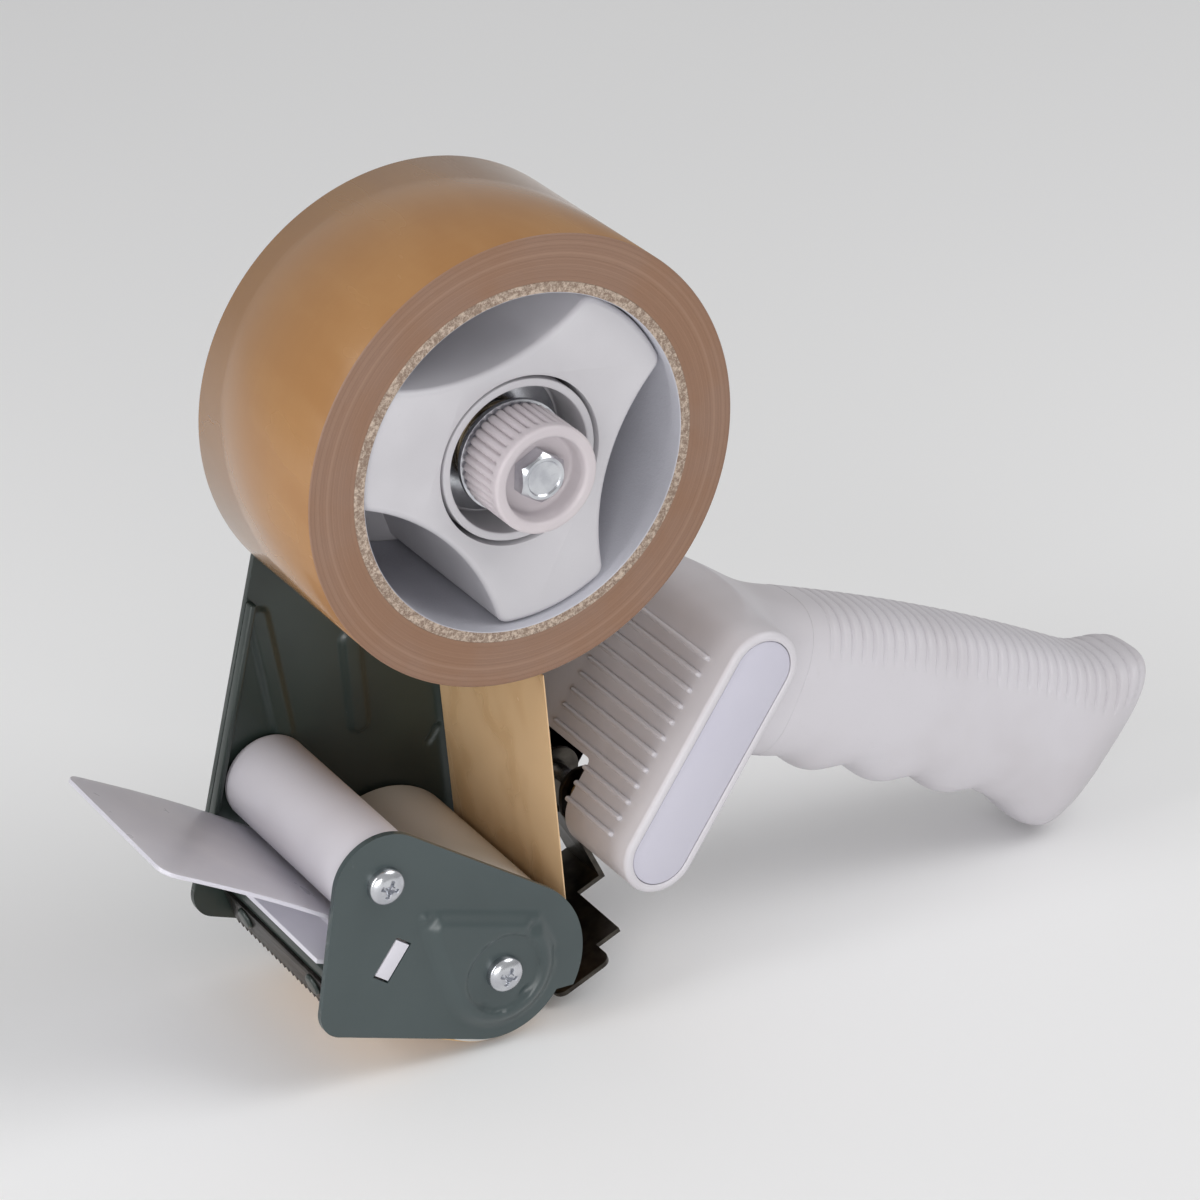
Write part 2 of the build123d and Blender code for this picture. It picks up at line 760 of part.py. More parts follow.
def handle():
    """The one-piece handle moulding."""
    block = slab(block_outline(), block_near, inner_face)
    near_rim = block.edges().group_by(Axis.Y)[0]
    block = fillet(near_rim, block_edge_radius)
    body = block + grip()
    body += ribs() - notch()
    body -= notch()
    cap_seat = block_outline(block_edge_radius + cap_rim)
    body -= slab(cap_seat, block_near, block_near + cap_thickness)
    pin = pin_radius + pin_clearance
    body -= disc(block_low_at, pin, pin_near_end - stack_gap, inner_face)
    for at in handle_screw_places():
        body -= disc(at, axle_screw_radius + thread_clearance, inner_face - handle_screw_reach, inner_face)
    return body


def handle_end_cap():
    """The flat oval cap that closes the block's open end."""
    outline = block_outline(block_edge_radius + cap_rim + cap_clearance)
    return slab(outline, block_near, block_near + cap_thickness)


def handle_screws():
    """The two screws from the frame's outer face into the block."""
    return Compound([pan_screw(at, outer_face, 1, handle_screw_reach)
                     for at in handle_screw_places()])


def lever_plane():
    """The lever sheet's own plane: x up its slope, y across the tool."""
    dx, dz = heading(lever_slope)
    return Plane(origin=(lever_step_at[0], 0, lever_step_at[1]), x_dir=(dx, 0, dz),
                 z_dir=(-dz, 0, dx))


def lever_ear(near):
    """One round ear on the pivot pin, joined to the lever's upright tongue."""
    low = along(lever_rear(), lever_tongue_angle(), math.dist(lever_rear(), lever_tongue_top) / 2)
    outline = round_hull([
        (*block_low_at, ear_radius),
        (*lever_tongue_top, lever_sheet),
        (*low, lever_sheet)])
    return slab(outline, near, near + lever_sheet)


def lever_rear():
    """The bend between the lever's sloping sheet and its tongue."""
    return along(lever_step_at, lever_slope, lever_steps[0][0])


def lever_tongue_angle():
    """The tongue's direction, from the bend up to the pivot."""
    rear = lever_rear()
    return math.degrees(math.atan2(lever_tongue_top[1] - rear[1], lever_tongue_top[0] - rear[0]))


def backstop_lever():
    """The stepped sheet lever that holds the tape's end against the big roller."""
    (u_a, y_a), (u_b, y_b), (u_c, y_c) = lever_steps
    steps = [(lever_front, y_c), (u_c, y_c), (u_c, y_b), (u_b, y_b), (u_b, y_a), (u_a, y_a),
             (u_a, lever_far), (lever_front, lever_far)]
    sheet = make_face(Polyline(*steps, close=True))
    outer = [v for v in sheet.vertices() if abs(v.Y - y_c) < 0.01]
    sheet = fillet(outer, lever_corner_radius)
    lever = extrude(lever_plane() * sheet, -lever_sheet)
    tip = along(lever_step_at, lever_slope, lever_front)
    reach = math.dist(tip, big_roller_at)
    toward = math.degrees(math.atan2(big_roller_at[1] - tip[1], big_roller_at[0] - tip[0]))
    lip_length = reach - web_outer_radius - lever_lip_gap
    lever += sheet_strip(tip, toward, lip_length, -lever_sheet, y_c + lever_corner_radius)
    rear = lever_rear()
    tongue = math.dist(rear, lever_tongue_top)
    lever += sheet_strip(rear, lever_tongue_angle(), tongue, lever_sheet, y_a)
    lever += lever_ear(ear_near)
    lever += lever_ear(lever_far - lever_sheet)
    return lever - disc(block_low_at, pin_radius + pin_clearance, notch_near, notch_far)


def sheet_strip(start, angle, length, side, near):
    """A strip bent up from the lever's sheet, on one side of a line from start."""
    root = -lever_sheet / 2
    corners = [along(start, angle, root), along(start, angle, length),
               along(start, angle, length, side), along(start, angle, root, side)]
    return slab(make_face(Polyline(*corners, close=True)), near, lever_far)


def lever_pin():
    """The pivot pin, from a blind hole in the block through the frame plate."""
    return disc(block_low_at, pin_radius, pin_near_end, outer_face + pin_tail)


def lever_pin_clip():
    """The spring clip on the pin's tail."""
    seat = outer_face + stack_gap
    return tube(block_low_at, clip_radius, pin_radius + pin_clearance, seat, seat + clip_thickness)


def lever_spring():
    """The coil on the pin that turns the lever towards the roller."""
    return coil(block_low_at, lever_spring_radius, lever_spring_wire, lever_spring_turns,
                notch_near + stack_gap, ear_near - stack_gap)


nodes = {
    "frame_side_plate": frame_side_plate,
    "near_cheek_plate": near_cheek_plate,
    "blade_carrier": blade_carrier,
    "cutting_blade": cutting_blade,
    "blade_rivets": blade_rivets,
    "wiper_bar": wiper_bar,
    "wiper_flap": wiper_flap,
    "application_roller": application_roller,
    "roller_end_plugs": roller_end_plugs,
    "roller_axle": lambda: axle(big_roller_at),
    "guide_roller": guide_roller,
    "guide_roller_axle": lambda: axle(guide_roller_at),
    "near_axle_screws": lambda: axle_screws(-1),
    "far_axle_screws": lambda: axle_screws(1),
    "tape_hub": tape_hub,
    "spindle_sleeve": spindle_sleeve,
    "brake_cup": brake_cup,
    "friction_washer": friction_washer,
    "brake_spring": brake_spring,
    "thrust_washer": thrust_washer,
    "brake_knob": brake_knob,
    "spindle_bolt": spindle_bolt,
    "spindle_nut": spindle_nut,
    "tape_core": tape_core,
    "tape_roll": tape_roll,
    "tape_web": tape_web,
    "handle": handle,
    "handle_end_cap": handle_end_cap,
    "handle_screws": handle_screws,
    "backstop_lever": backstop_lever,
    "lever_pin": lever_pin,
    "lever_pin_clip": lever_pin_clip,
    "lever_spring": lever_spring,
}

os.makedirs("parts", exist_ok=True)
stand = Location((-hub_ahead_of_middle, 0, hub_height))
for name, build in nodes.items():
    export_step(stand * build(), f"parts/{name}.step")
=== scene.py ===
# %% [markdown]
# This scene dresses a hand tape gun: a pressed steel frame with one open side, a roll
# of brown tape on a braked hub, two rollers, a toothed blade, a plastic wiper leaf and
# a moulded pistol grip. The solid model gives every place and size, so the scene
# starts by loading it and never moves it. Lengths here are in millimetres and are
# turned into metres when a mesh is made.

# %% Load the solid model
import json
import math
import bpy
import bmesh
import numpy as np
from mathutils import Matrix, Vector


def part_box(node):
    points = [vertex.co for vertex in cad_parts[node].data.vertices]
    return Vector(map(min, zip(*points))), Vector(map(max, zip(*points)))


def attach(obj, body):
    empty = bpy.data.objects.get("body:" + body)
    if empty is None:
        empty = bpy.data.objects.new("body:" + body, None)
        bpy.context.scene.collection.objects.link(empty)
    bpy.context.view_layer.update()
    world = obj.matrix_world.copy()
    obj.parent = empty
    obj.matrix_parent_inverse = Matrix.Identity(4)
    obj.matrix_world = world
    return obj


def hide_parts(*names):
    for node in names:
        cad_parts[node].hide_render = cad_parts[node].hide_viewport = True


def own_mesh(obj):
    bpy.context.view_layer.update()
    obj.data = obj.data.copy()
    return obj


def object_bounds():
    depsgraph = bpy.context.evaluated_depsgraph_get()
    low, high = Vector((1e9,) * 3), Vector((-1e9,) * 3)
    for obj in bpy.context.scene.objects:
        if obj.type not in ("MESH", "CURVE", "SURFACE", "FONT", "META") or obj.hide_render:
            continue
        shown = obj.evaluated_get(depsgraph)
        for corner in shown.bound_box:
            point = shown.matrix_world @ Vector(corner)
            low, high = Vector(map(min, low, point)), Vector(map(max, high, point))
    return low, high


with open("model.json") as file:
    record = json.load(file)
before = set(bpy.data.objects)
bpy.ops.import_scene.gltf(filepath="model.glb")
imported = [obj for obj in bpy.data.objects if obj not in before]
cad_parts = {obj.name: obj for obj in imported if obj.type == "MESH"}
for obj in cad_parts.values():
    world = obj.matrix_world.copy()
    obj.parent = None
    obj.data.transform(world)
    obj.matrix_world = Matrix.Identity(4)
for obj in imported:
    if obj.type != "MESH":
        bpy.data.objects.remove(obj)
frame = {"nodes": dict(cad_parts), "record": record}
cad_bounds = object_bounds()
print("solid model from", list(cad_bounds[0]), "to", list(cad_bounds[1]))

# %% [markdown]
# Most pieces turn about an axis across the tool or sit on one, so their places come
# from the joints of the model. A place is an (x, z) pair, and y runs from the open
# side to the frame side.

# %% Places from the model
mm = 0.001
joints = {joint["name"]: joint for joint in frame["record"]["behaviour"]["joints"]}


def axis_of(joint):
    """The (x, z) of a joint's axis, in millimetres."""
    x, _, z = joints[joint]["pos_m"]
    return np.array([x, z]) / mm


def reach_of(node):
    """A node's lowest and highest corner, in millimetres."""
    low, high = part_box(node)
    return np.array(low) / mm, np.array(high) / mm


hub_at = axis_of("tape_roll_spin")
big_roller_at = axis_of("application_roller_spin")
guide_roller_at = axis_of("guide_roller_spin")
lever_pivot = axis_of("backstop_swing")
flap_hinge = axis_of("wiper_flex")
half_tape = reach_of("tape_roll")[1][1]
roll_radius = (reach_of("tape_roll")[1][0] - reach_of("tape_roll")[0][0]) / 2
plate_inner = reach_of("blade_carrier")[1][1]
plate_outer = reach_of("spindle_nut")[0][1]
print("hub at", hub_at, "roll radius", roll_radius, "plates from", plate_inner, "to", plate_outer)

# %% [markdown]
# The photograph was taken with a long lens from the open side, a little above and in
# front. The view was worked out from the circles of the roll, with the tool standing
# tilted by two degrees against the picture's upright. So the camera is built in the
# picture's own frame about the hub and then turned back by that tilt.

# %% Camera
view_azimuth = -31.22
view_elevation = 27.5
view_distance = 997.0
view_target = (33.4, 0.0, -52.0)
tool_tilt = 2.0
lens_mm = 135.0
sensor_mm = 36.0

turn = math.radians(view_azimuth)
rise = math.radians(view_elevation)
toward_camera = Vector((math.sin(turn) * math.cos(rise), -math.cos(turn) * math.cos(rise), math.sin(rise)))
eye = Vector(view_target) + view_distance * toward_camera
aim = (-toward_camera).to_track_quat("-Z", "Y").to_matrix().to_4x4()
in_picture = Matrix.Translation(eye * mm) @ aim
about_hub = Matrix.Translation((hub_at[0] * mm, 0, hub_at[1] * mm))
camera = bpy.data.objects.new("camera", bpy.data.cameras.new("camera"))
camera.data.lens = lens_mm
camera.data.sensor_width = sensor_mm
camera.matrix_world = about_hub @ Matrix.Rotation(math.radians(-tool_tilt), 4, "Y") @ in_picture
bpy.context.scene.collection.objects.link(camera)
bpy.context.scene.camera = camera
print("camera at", camera.matrix_world.translation)

# %% [markdown]
# A studio shot on white needs three things: a pale floor, a bright even surround and
# large soft lamps, so that glossy film and zinc have something broad to reflect. The
# key lamp hangs above and to the right, a fill stands on the open side and a narrow
# one at the left draws the long highlight on the tape.

# %% Floor and lights
floor_size = 6.0
floor_gap = 0.0004
world_strength = 0.44
lamps = {
    "key": {"at": (0.75, -0.55, 1.25), "size": (0.9, 0.9), "watts": 7.5},
    "fill": {"at": (-0.7, -1.1, 0.32), "size": (0.9, 0.5), "watts": 6.5},
    "edge": {"at": (-1.1, -0.1, 0.5), "size": (0.3, 0.9), "watts": 4.5},
}


def tone(red, green, blue, alpha=1.0):
    """A picture colour from 0 to 255 as the shader's linear colour."""
    parts = []
    for value in (red, green, blue):
        share = value / 255
        parts.append(share / 12.92 if share <= 0.04045 else ((share + 0.055) / 1.055) ** 2.4)
    return (*parts, alpha)


def add_lamp(name, at, size, watts):
    """A rectangular soft lamp that points at the tool's middle."""
    lamp = bpy.data.objects.new(name, bpy.data.lights.new(name, "AREA"))
    lamp.data.shape = "RECTANGLE"
    lamp.data.size, lamp.data.size_y = size
    lamp.data.energy = watts
    middle = (Vector(cad_bounds[0]) + Vector(cad_bounds[1])) / 2
    lamp.location = at
    lamp.rotation_euler = (middle - Vector(at)).to_track_quat("-Z", "Y").to_euler()
    bpy.context.scene.collection.objects.link(lamp)


for name, lamp in lamps.items():
    add_lamp(name, **lamp)
world = bpy.context.scene.world or bpy.data.worlds.new("surround")
bpy.context.scene.world = world
world.use_nodes = True
world.node_tree.nodes["Background"].inputs["Color"].default_value = (1, 1, 1, 1)
world.node_tree.nodes["Background"].inputs["Strength"].default_value = world_strength
bpy.context.scene.view_settings.view_transform = "Standard"
floor_mesh = bpy.data.meshes.new("floor")
half = floor_size / 2
corners = [(-half, -half), (half, -half), (half, half), (-half, half)]
floor_mesh.from_pydata([(x, y, -floor_gap) for x, y in corners], [], [(0, 1, 2, 3)])
floor = bpy.data.objects.new("floor", floor_mesh)
bpy.context.scene.collection.objects.link(floor)
print("lamps:", ", ".join(lamps))

# %% [markdown]
# Materials are written as expressions. A Value wraps one socket, and adding or
# multiplying Values adds the Math nodes behind the scenes. A Finish is a material in
# the making: its one method for all other nodes sets what it is told and links what
# it is given. Patterns read the object's own coordinates, which are the model's
# metres, because every piece stays at the origin.

# %% Shader expressions
class Value:
    """A shader socket to use in a Python expression."""

    def __init__(self, finish, socket):
        self.finish = finish
        self.socket = socket

    def math(self, operation, *values):
        """One Math node on these values."""
        return self.finish.node("Math", {"operation": operation}, dict(enumerate(values)))

    def __add__(self, other):
        return self.math("ADD", self, other)

    def __sub__(self, other):
        return self.math("SUBTRACT", self, other)

    def __rsub__(self, other):
        return self.math("SUBTRACT", other, self)

    def __mul__(self, other):
        return self.math("MULTIPLY", self, other)

    def __truediv__(self, other):
        return self.math("DIVIDE", self, other)

    def __rtruediv__(self, other):
        return self.math("DIVIDE", other, self)

    def __pow__(self, other):
        return self.math("POWER", self, other)

    __radd__ = __add__
    __rmul__ = __mul__


class Finish:
    """A material in the making."""

    def __init__(self, name, **constants):
        self.material = bpy.data.materials.new(name)
        self.material.use_nodes = True
        self.tree = self.material.node_tree
        self.shader = self.tree.nodes["Principled BSDF"]
        self.place = self.node("TexCoord", output="Object")
        for socket, value in constants.items():
            self.shader.inputs[socket.replace("_", " ")].default_value = value

    def node(self, kind, settings=None, inputs=None, output=0):
        """A node of this kind: its settings first, then its sockets' values or links."""
        made = self.tree.nodes.new("ShaderNode" + kind)
        for key, value in (settings or {}).items():
            if key == "stops":
                ends = made.color_ramp.elements
                for stop, (position, colour) in zip(ends, value):
                    stop.position = position
                    stop.color = colour
                for position, colour in value[len(ends):]:
                    ends.new(position).color = colour
            else:
                setattr(made, key, value)
        for key, value in (inputs or {}).items():
            if isinstance(value, Value):
                self.tree.links.new(value.socket, made.inputs[key])
            else:
                made.inputs[key].default_value = value
        return Value(self, made.outputs[output])

    def noise(self, size_mm, detail=2.0, stretch=(1, 1, 1), roughness=0.5):
        """Cloudy noise whose blobs are about this many millimetres wide."""
        scale = tuple(part / (size_mm * mm) for part in stretch)
        place = self.node("Mapping", {"vector_type": "POINT"}, {"Vector": self.place, "Scale": scale})
        return self.node("TexNoise", None, {"Vector": place, "Scale": 1.0, "Detail": detail,
                                            "Roughness": roughness})

    def between(self, value, low, high):
        """A value stretched so that low gives 0 and high gives 1."""
        return self.node("MapRange", {"clamp": True, "interpolation_type": "SMOOTHSTEP"},
                         {"Value": value, "From Min": low, "From Max": high})

    def blend(self, mask, first, second):
        """One colour where the mask is 0 and the other where it is 1."""
        return self.node("Mix", {"data_type": "RGBA"}, {"Factor": mask, 6: first, 7: second}, output=2)

    def bump(self, height, depth_mm, below=None):
        """A bump of this depth from a height between 0 and 1."""
        inputs = {"Height": height, "Distance": depth_mm * mm, "Strength": 1.0}
        if below:
            inputs["Normal"] = below
        return self.node("Bump", None, inputs)

    def wear(self, **links):
        """Links values to the surface shader's sockets and gives the material."""
        for socket, value in links.items():
            self.tree.links.new(value.socket, self.shader.inputs[socket.replace("_", " ")])
        return self.material


print("expressions ready")

# %% [markdown]
# Moulded plastic looks alive through three faint effects: a grain from the spark
# eroded mould, slow changes of tone where the wall cools unevenly, and a roughness
# that differs a little from hand to hand. The same recipe with other tones does for
# the handle, the hub and the rollers.

# %% Plastics
def moulded(name, colour, shade, roughness, grain_mm=0.35, grain_depth=0.012):
    """Satin moulded plastic: colour fades to shade in soft clouds."""
    finish = Finish(name, Specular_IOR_Level=0.45)
    clouds = finish.between(finish.noise(38, 3), 0.35, 0.7)
    specks = finish.between(finish.noise(0.9, 1), 0.62, 0.8)
    tint = finish.blend(specks * 0.25, finish.blend(clouds, colour, shade), shade)
    grain = finish.noise(grain_mm, 2)
    smear = finish.noise(9, 4, (1, 1, 0.4))
    return finish.wear(
        Base_Color=tint,
        Roughness=roughness - 0.05 + 0.1 * smear,
        Normal=finish.bump(grain, grain_depth))


handle_plastic = moulded("handle_plastic", tone(206, 203, 208), tone(196, 192, 196), 0.42)
hub_plastic = moulded("hub_plastic", tone(202, 200, 204), tone(190, 188, 192), 0.38)
knob_plastic = moulded("knob_plastic", tone(204, 196, 198), tone(194, 186, 190), 0.4)
roller_plastic = moulded("roller_plastic", tone(206, 203, 200), tone(194, 192, 186), 0.44)
guide_plastic = moulded("guide_plastic", tone(210, 207, 214), tone(200, 196, 202), 0.42)
panel_plastic = moulded("panel_plastic", tone(196, 194, 206), tone(190, 188, 202), 0.46)
print("plastics ready")

# %% [markdown]
# The wiper is a thin flexible leaf that lets light through. Real transmission would
# be slow and noisy for a sheet under a millimetre thick, so the leaf is a bright
# satin surface with a constant alpha that lets what lies behind show faintly.

# %% Translucent leaf and film
def leaf_plastic():
    """The wiper's milky plastic."""
    finish = Finish("leaf_plastic", Alpha=0.86, Specular_IOR_Level=0.5)
    clouds = finish.between(finish.noise(24, 3), 0.3, 0.7)
    tint = finish.blend(clouds, tone(224, 222, 230), tone(212, 210, 220))
    return finish.wear(
        Base_Color=tint,
        Roughness=0.24 + 0.12 * finish.noise(5, 3),
        Normal=finish.bump(finish.noise(14, 2), 0.05))


def web_film():
    """The loose web: one layer of tan film with its adhesive, in soft blotches."""
    finish = Finish("web_film", Alpha=0.97, Specular_IOR_Level=0.55)
    blotches = finish.between(finish.noise(16, 2, (1, 1, 0.6)), 0.42, 0.62)
    streaks = finish.noise(1.6, 3, (1, 1, 0.08))
    tint = finish.blend(blotches, tone(214, 180, 138), tone(200, 164, 120))
    tint = finish.blend(0.12 * streaks, tint, tone(222, 192, 152))
    return finish.wear(
        Base_Color=tint,
        Roughness=0.2 + 0.14 * blotches,
        Normal=finish.bump(blotches, 0.05))


wiper_plastic = leaf_plastic()
web_material = web_film()
print("leaf and film ready")

# %% [markdown]
# A roll of tape has two very different surfaces. The outside is one stretched layer of
# glossy film with trapped air, the ends are hundreds of cut edges, seen as fine rings
# with broad matt patches. The distance from the hub's axis gives the rings.

# %% Wound tape and paper
def from_hub(finish):
    """The distance from the hub's axis, in millimetres."""
    where = finish.node("Mapping", {"vector_type": "POINT"},
                        {"Vector": finish.place, "Location": (-hub_at[0] * mm, 0, -hub_at[1] * mm)})
    x = finish.node("SeparateXYZ", None, {"Vector": where}, output=0)
    z = finish.node("SeparateXYZ", None, {"Vector": where}, output=2)
    return (x * x + z * z) ** 0.5 / mm


def rings(finish, radius, pitch_mm):
    """Noise that changes only with the radius."""
    return finish.node("TexNoise", {"noise_dimensions": "1D"},
                       {"W": radius / pitch_mm, "Scale": 1.0, "Detail": 3.0, "Roughness": 0.7})


def wound_ends():
    """The roll's cut ends."""
    finish = Finish("wound_ends", Specular_IOR_Level=0.4)
    radius = from_hub(finish)
    fine = rings(finish, radius, 0.22)
    bands = rings(finish, radius, 1.9)
    patches = finish.between(finish.noise(17, 4), 0.38, 0.66)
    tint = finish.blend(fine, tone(112, 84, 68), tone(156, 124, 104))
    tint = finish.blend(patches * 0.4, tint, tone(136, 98, 70))
    tint = finish.blend(finish.between(bands, 0.45, 0.75) * 0.35, tint, tone(160, 130, 110))
    return finish.wear(
        Base_Color=tint,
        Roughness=0.36 + 0.16 * patches,
        Normal=finish.bump(fine + 0.6 * bands, 0.06))


def wound_face():
    """The outer layer of film."""
    finish = Finish("wound_face", Coat_Weight=0.35, Coat_Roughness=0.08, Specular_IOR_Level=0.5)
    air = finish.between(finish.noise(15, 3, (1, 0.4, 1)), 0.42, 0.66)
    lines = finish.noise(1.3, 3, (0.05, 1, 0.05))
    tint = finish.blend(air, tone(158, 114, 68), tone(163, 120, 74))
    tint = finish.blend(0.2 * lines, tint, tone(146, 102, 58))
    return finish.wear(
        Base_Color=tint,
        Roughness=0.16 + 0.12 * air,
        Normal=finish.bump(air * 0.5 + lines * 0.3, 0.05))


def paper_core():
    """Grey board at the cut ends and a pale lining inside."""
    finish = Finish("paper_core", Specular_IOR_Level=0.25)
    radius = from_hub(finish)
    bore = reach_of("tape_hub")[0][0]
    fibres = finish.between(finish.noise(0.8, 4, roughness=0.8), 0.38, 0.62)
    board = finish.blend(fibres, tone(136, 116, 102), tone(200, 182, 166))
    lining = finish.blend(finish.noise(22, 3), tone(196, 196, 204), tone(182, 182, 190))
    inside = finish.between(radius, 38.35, 38.2)
    return finish.wear(
        Base_Color=finish.blend(inside, board, lining),
        Roughness=0.82 - 0.2 * inside,
        Normal=finish.bump(fibres * (1 - 0.8 * inside), 0.12))


roll_ends = wound_ends()
roll_face = wound_face()
core_board = paper_core()
print("tape and core ready")

# %% [markdown]
# The steel frame is powder coated: a dark green grey with a slight orange peel and a
# satin shine. The small steel is bright zinc with fine turning marks, the blade is
# darker, the lever's plated steel gets a dark brown tint that is a painted reflection
# of dark surroundings, and the springs are drawn wire with a warm oil film.

# %% Metals
def coated(name, colour, shade, roughness):
    """Powder coat on sheet steel."""
    finish = Finish(name, Specular_IOR_Level=0.5, Coat_Weight=0.15, Coat_Roughness=0.3)
    peel = finish.noise(1.1, 2)
    clouds = finish.between(finish.noise(30, 3), 0.35, 0.7)
    scuffs = finish.between(finish.noise(3.2, 6, (1, 1, 0.25), 0.75), 0.66, 0.74)
    tint = finish.blend(clouds, colour, shade)
    tint = finish.blend(scuffs * 0.18, tint, tone(150, 158, 158))
    return finish.wear(
        Base_Color=tint,
        Roughness=roughness + 0.08 * clouds + 0.1 * scuffs,
        Normal=finish.bump(peel, 0.02))


def metal(name, colour, shade, roughness, grain=(1, 1, 1), grain_mm=0.5):
    """Bare or plated steel with a fine grain."""
    finish = Finish(name, Metallic=1.0)
    streaks = finish.noise(grain_mm, 3, grain)
    clouds = finish.between(finish.noise(4, 3), 0.35, 0.7)
    tint = finish.blend(clouds, colour, shade)
    return finish.wear(
        Base_Color=tint,
        Roughness=roughness + 0.14 * streaks,
        Normal=finish.bump(streaks, 0.01))


cheek_paint = coated("cheek_paint", tone(64, 75, 76), tone(59, 70, 71), 0.3)
frame_paint = coated("frame_paint", tone(42, 52, 48), tone(34, 42, 40), 0.3)
zinc = metal("zinc", tone(214, 216, 220), tone(190, 192, 198), 0.16)
blade_steel = metal("blade_steel", tone(66, 62, 58), tone(50, 47, 45), 0.3, (1, 0.1, 1))
# The lever's dark brown tint is a painted reflection: its plated steel mirrors dark surroundings.
lever_steel = metal("lever_steel", tone(84, 80, 74), tone(62, 58, 54), 0.26, (0.2, 1, 0.2))
spring_wire = metal("spring_wire", tone(150, 136, 112), tone(112, 98, 78), 0.22)
floor_finish = Finish("floor_finish", Roughness=0.7)
floor_tint = floor_finish.blend(floor_finish.noise(400, 2), tone(247, 247, 247), tone(243, 243, 244))
floor_mesh.materials.append(floor_finish.wear(Base_Color=floor_tint))
print("metals ready")

# %% [markdown]
# Pieces of revolution are written as a profile of (radius, y) points whose corners are
# rounded before they are spun. Everything else starts from points and faces. Each new
# piece gets its doubles merged and its faces turned outwards.

# %% Mesh helpers
def closed_piece(name, points, faces):
    """A closed mesh from points in millimetres, with merged doubles and outward faces."""
    mesh = bpy.data.meshes.new(name)
    mesh.from_pydata((np.asarray(points, float) * mm).tolist(), [], faces)
    work = bmesh.new()
    work.from_mesh(mesh)
    bmesh.ops.remove_doubles(work, verts=work.verts, dist=1e-7)
    bmesh.ops.recalc_face_normals(work, faces=work.faces)
    work.to_mesh(mesh)
    work.free()
    piece = bpy.data.objects.new(name, mesh)
    bpy.context.scene.collection.objects.link(piece)
    return piece


def softened(profile, radius, parts=4):
    """A closed profile with every corner rounded by about this radius."""
    points = np.asarray(profile, float)
    made = []
    for before, corner, after in zip(np.roll(points, 1, 0), points, np.roll(points, -1, 0)):
        sides = [before - corner, after - corner]
        lengths = [np.linalg.norm(side) for side in sides]
        cut = min(radius, *(0.45 * length for length in lengths))
        start, end = (corner + side * cut / length for side, length in zip(sides, lengths))
        for share in np.linspace(0, 1, parts + 1):
            made.append((1 - share) ** 2 * start + 2 * share * (1 - share) * corner + share ** 2 * end)
    return made


def ring_faces(rings_made, steps, closed=True):
    """Four-sided faces between successive rings of points."""
    faces = []
    for i in range(rings_made if closed else rings_made - 1):
        a = i * steps
        b = (i + 1) % rings_made * steps
        faces += [(a + j, a + (j + 1) % steps, b + (j + 1) % steps, b + j) for j in range(steps)]
    return faces


def spun(name, at, profile, steps=160):
    """A shape turned about the y direction at (x, z), from a closed (radius, y) profile."""
    turns = np.linspace(0, 2 * math.pi, steps, endpoint=False)
    points = []
    for radius, y in profile:
        points += [(at[0] + radius * math.cos(t), y, at[1] + radius * math.sin(t)) for t in turns]
    return closed_piece(name, points, ring_faces(len(profile), steps))


def prism(name, outline, near, far):
    """An (x, z) outline made solid from y = near to y = far."""
    count = len(outline)
    points = [(x, near, z) for x, z in outline] + [(x, far, z) for x, z in outline]
    faces = [tuple(range(count)), tuple(range(count, 2 * count))]
    faces += [(i, (i + 1) % count, count + (i + 1) % count, count + i) for i in range(count)]
    return closed_piece(name, points, faces)


def baked(piece):
    """Applies a piece's modifiers to its mesh."""
    graph = bpy.context.evaluated_depsgraph_get()
    graph.update()
    mesh = bpy.data.meshes.new_from_object(piece.evaluated_get(graph))
    piece.modifiers.clear()
    piece.data = mesh
    return piece


merge_gap = 0.001


def merged(piece):
    """Joins a piece's doubled points, so that its skin is one closed surface."""
    work = bmesh.new()
    work.from_mesh(piece.data)
    bmesh.ops.remove_doubles(work, verts=work.verts, dist=merge_gap * mm)
    work.to_mesh(piece.data)
    work.free()
    return piece


def carved(piece, cutter, operation="DIFFERENCE"):
    """Cuts one piece with another, which is then thrown away."""
    boolean = piece.modifiers.new("cut", "BOOLEAN")
    boolean.operation = operation
    boolean.solver = "EXACT"
    boolean.object = cutter
    baked(piece)
    bpy.data.objects.remove(cutter)
    return piece


def bevelled(piece, width, segments=2, angle=30):
    """Rounds a piece's sharp edges."""
    bevel = piece.modifiers.new("edges", "BEVEL")
    bevel.width = width * mm
    bevel.segments = segments
    bevel.limit_method = "ANGLE"
    bevel.angle_limit = math.radians(angle)
    return merged(baked(piece))


def settle(piece, material, body, slot, *nodes, sharp=32):
    """Gives a finished piece its material, shading, body and the nodes that it stands for; slot is not used."""
    piece.data.materials.clear()
    piece.data.materials.append(material)
    piece.data.shade_smooth()
    piece.data.set_sharp_from_angle(angle=math.radians(sharp))
    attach(piece, body)
    if nodes:
        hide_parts(*nodes)
    print(piece.name, "faces", len(piece.data.polygons))
    return piece


def dressed(node, material, width, body, slot, angle=30):
    """A copy of a node's mesh, merged and with softened edges, that stands for the node."""
    source = frame["nodes"][node]
    piece = bpy.data.objects.new(node + "_dressed", source.data.copy())
    bpy.context.scene.collection.objects.link(piece)
    work = bmesh.new()
    work.from_mesh(piece.data)
    bmesh.ops.remove_doubles(work, verts=work.verts, dist=1e-6)
    bmesh.ops.dissolve_limit(work, angle_limit=math.radians(0.2), verts=work.verts, edges=work.edges)
    work.to_mesh(piece.data)
    work.free()
    if width:
        bevelled(piece, width, 2, angle)
    return settle(piece, material, body, slot, node)


print("mesh helpers ready")
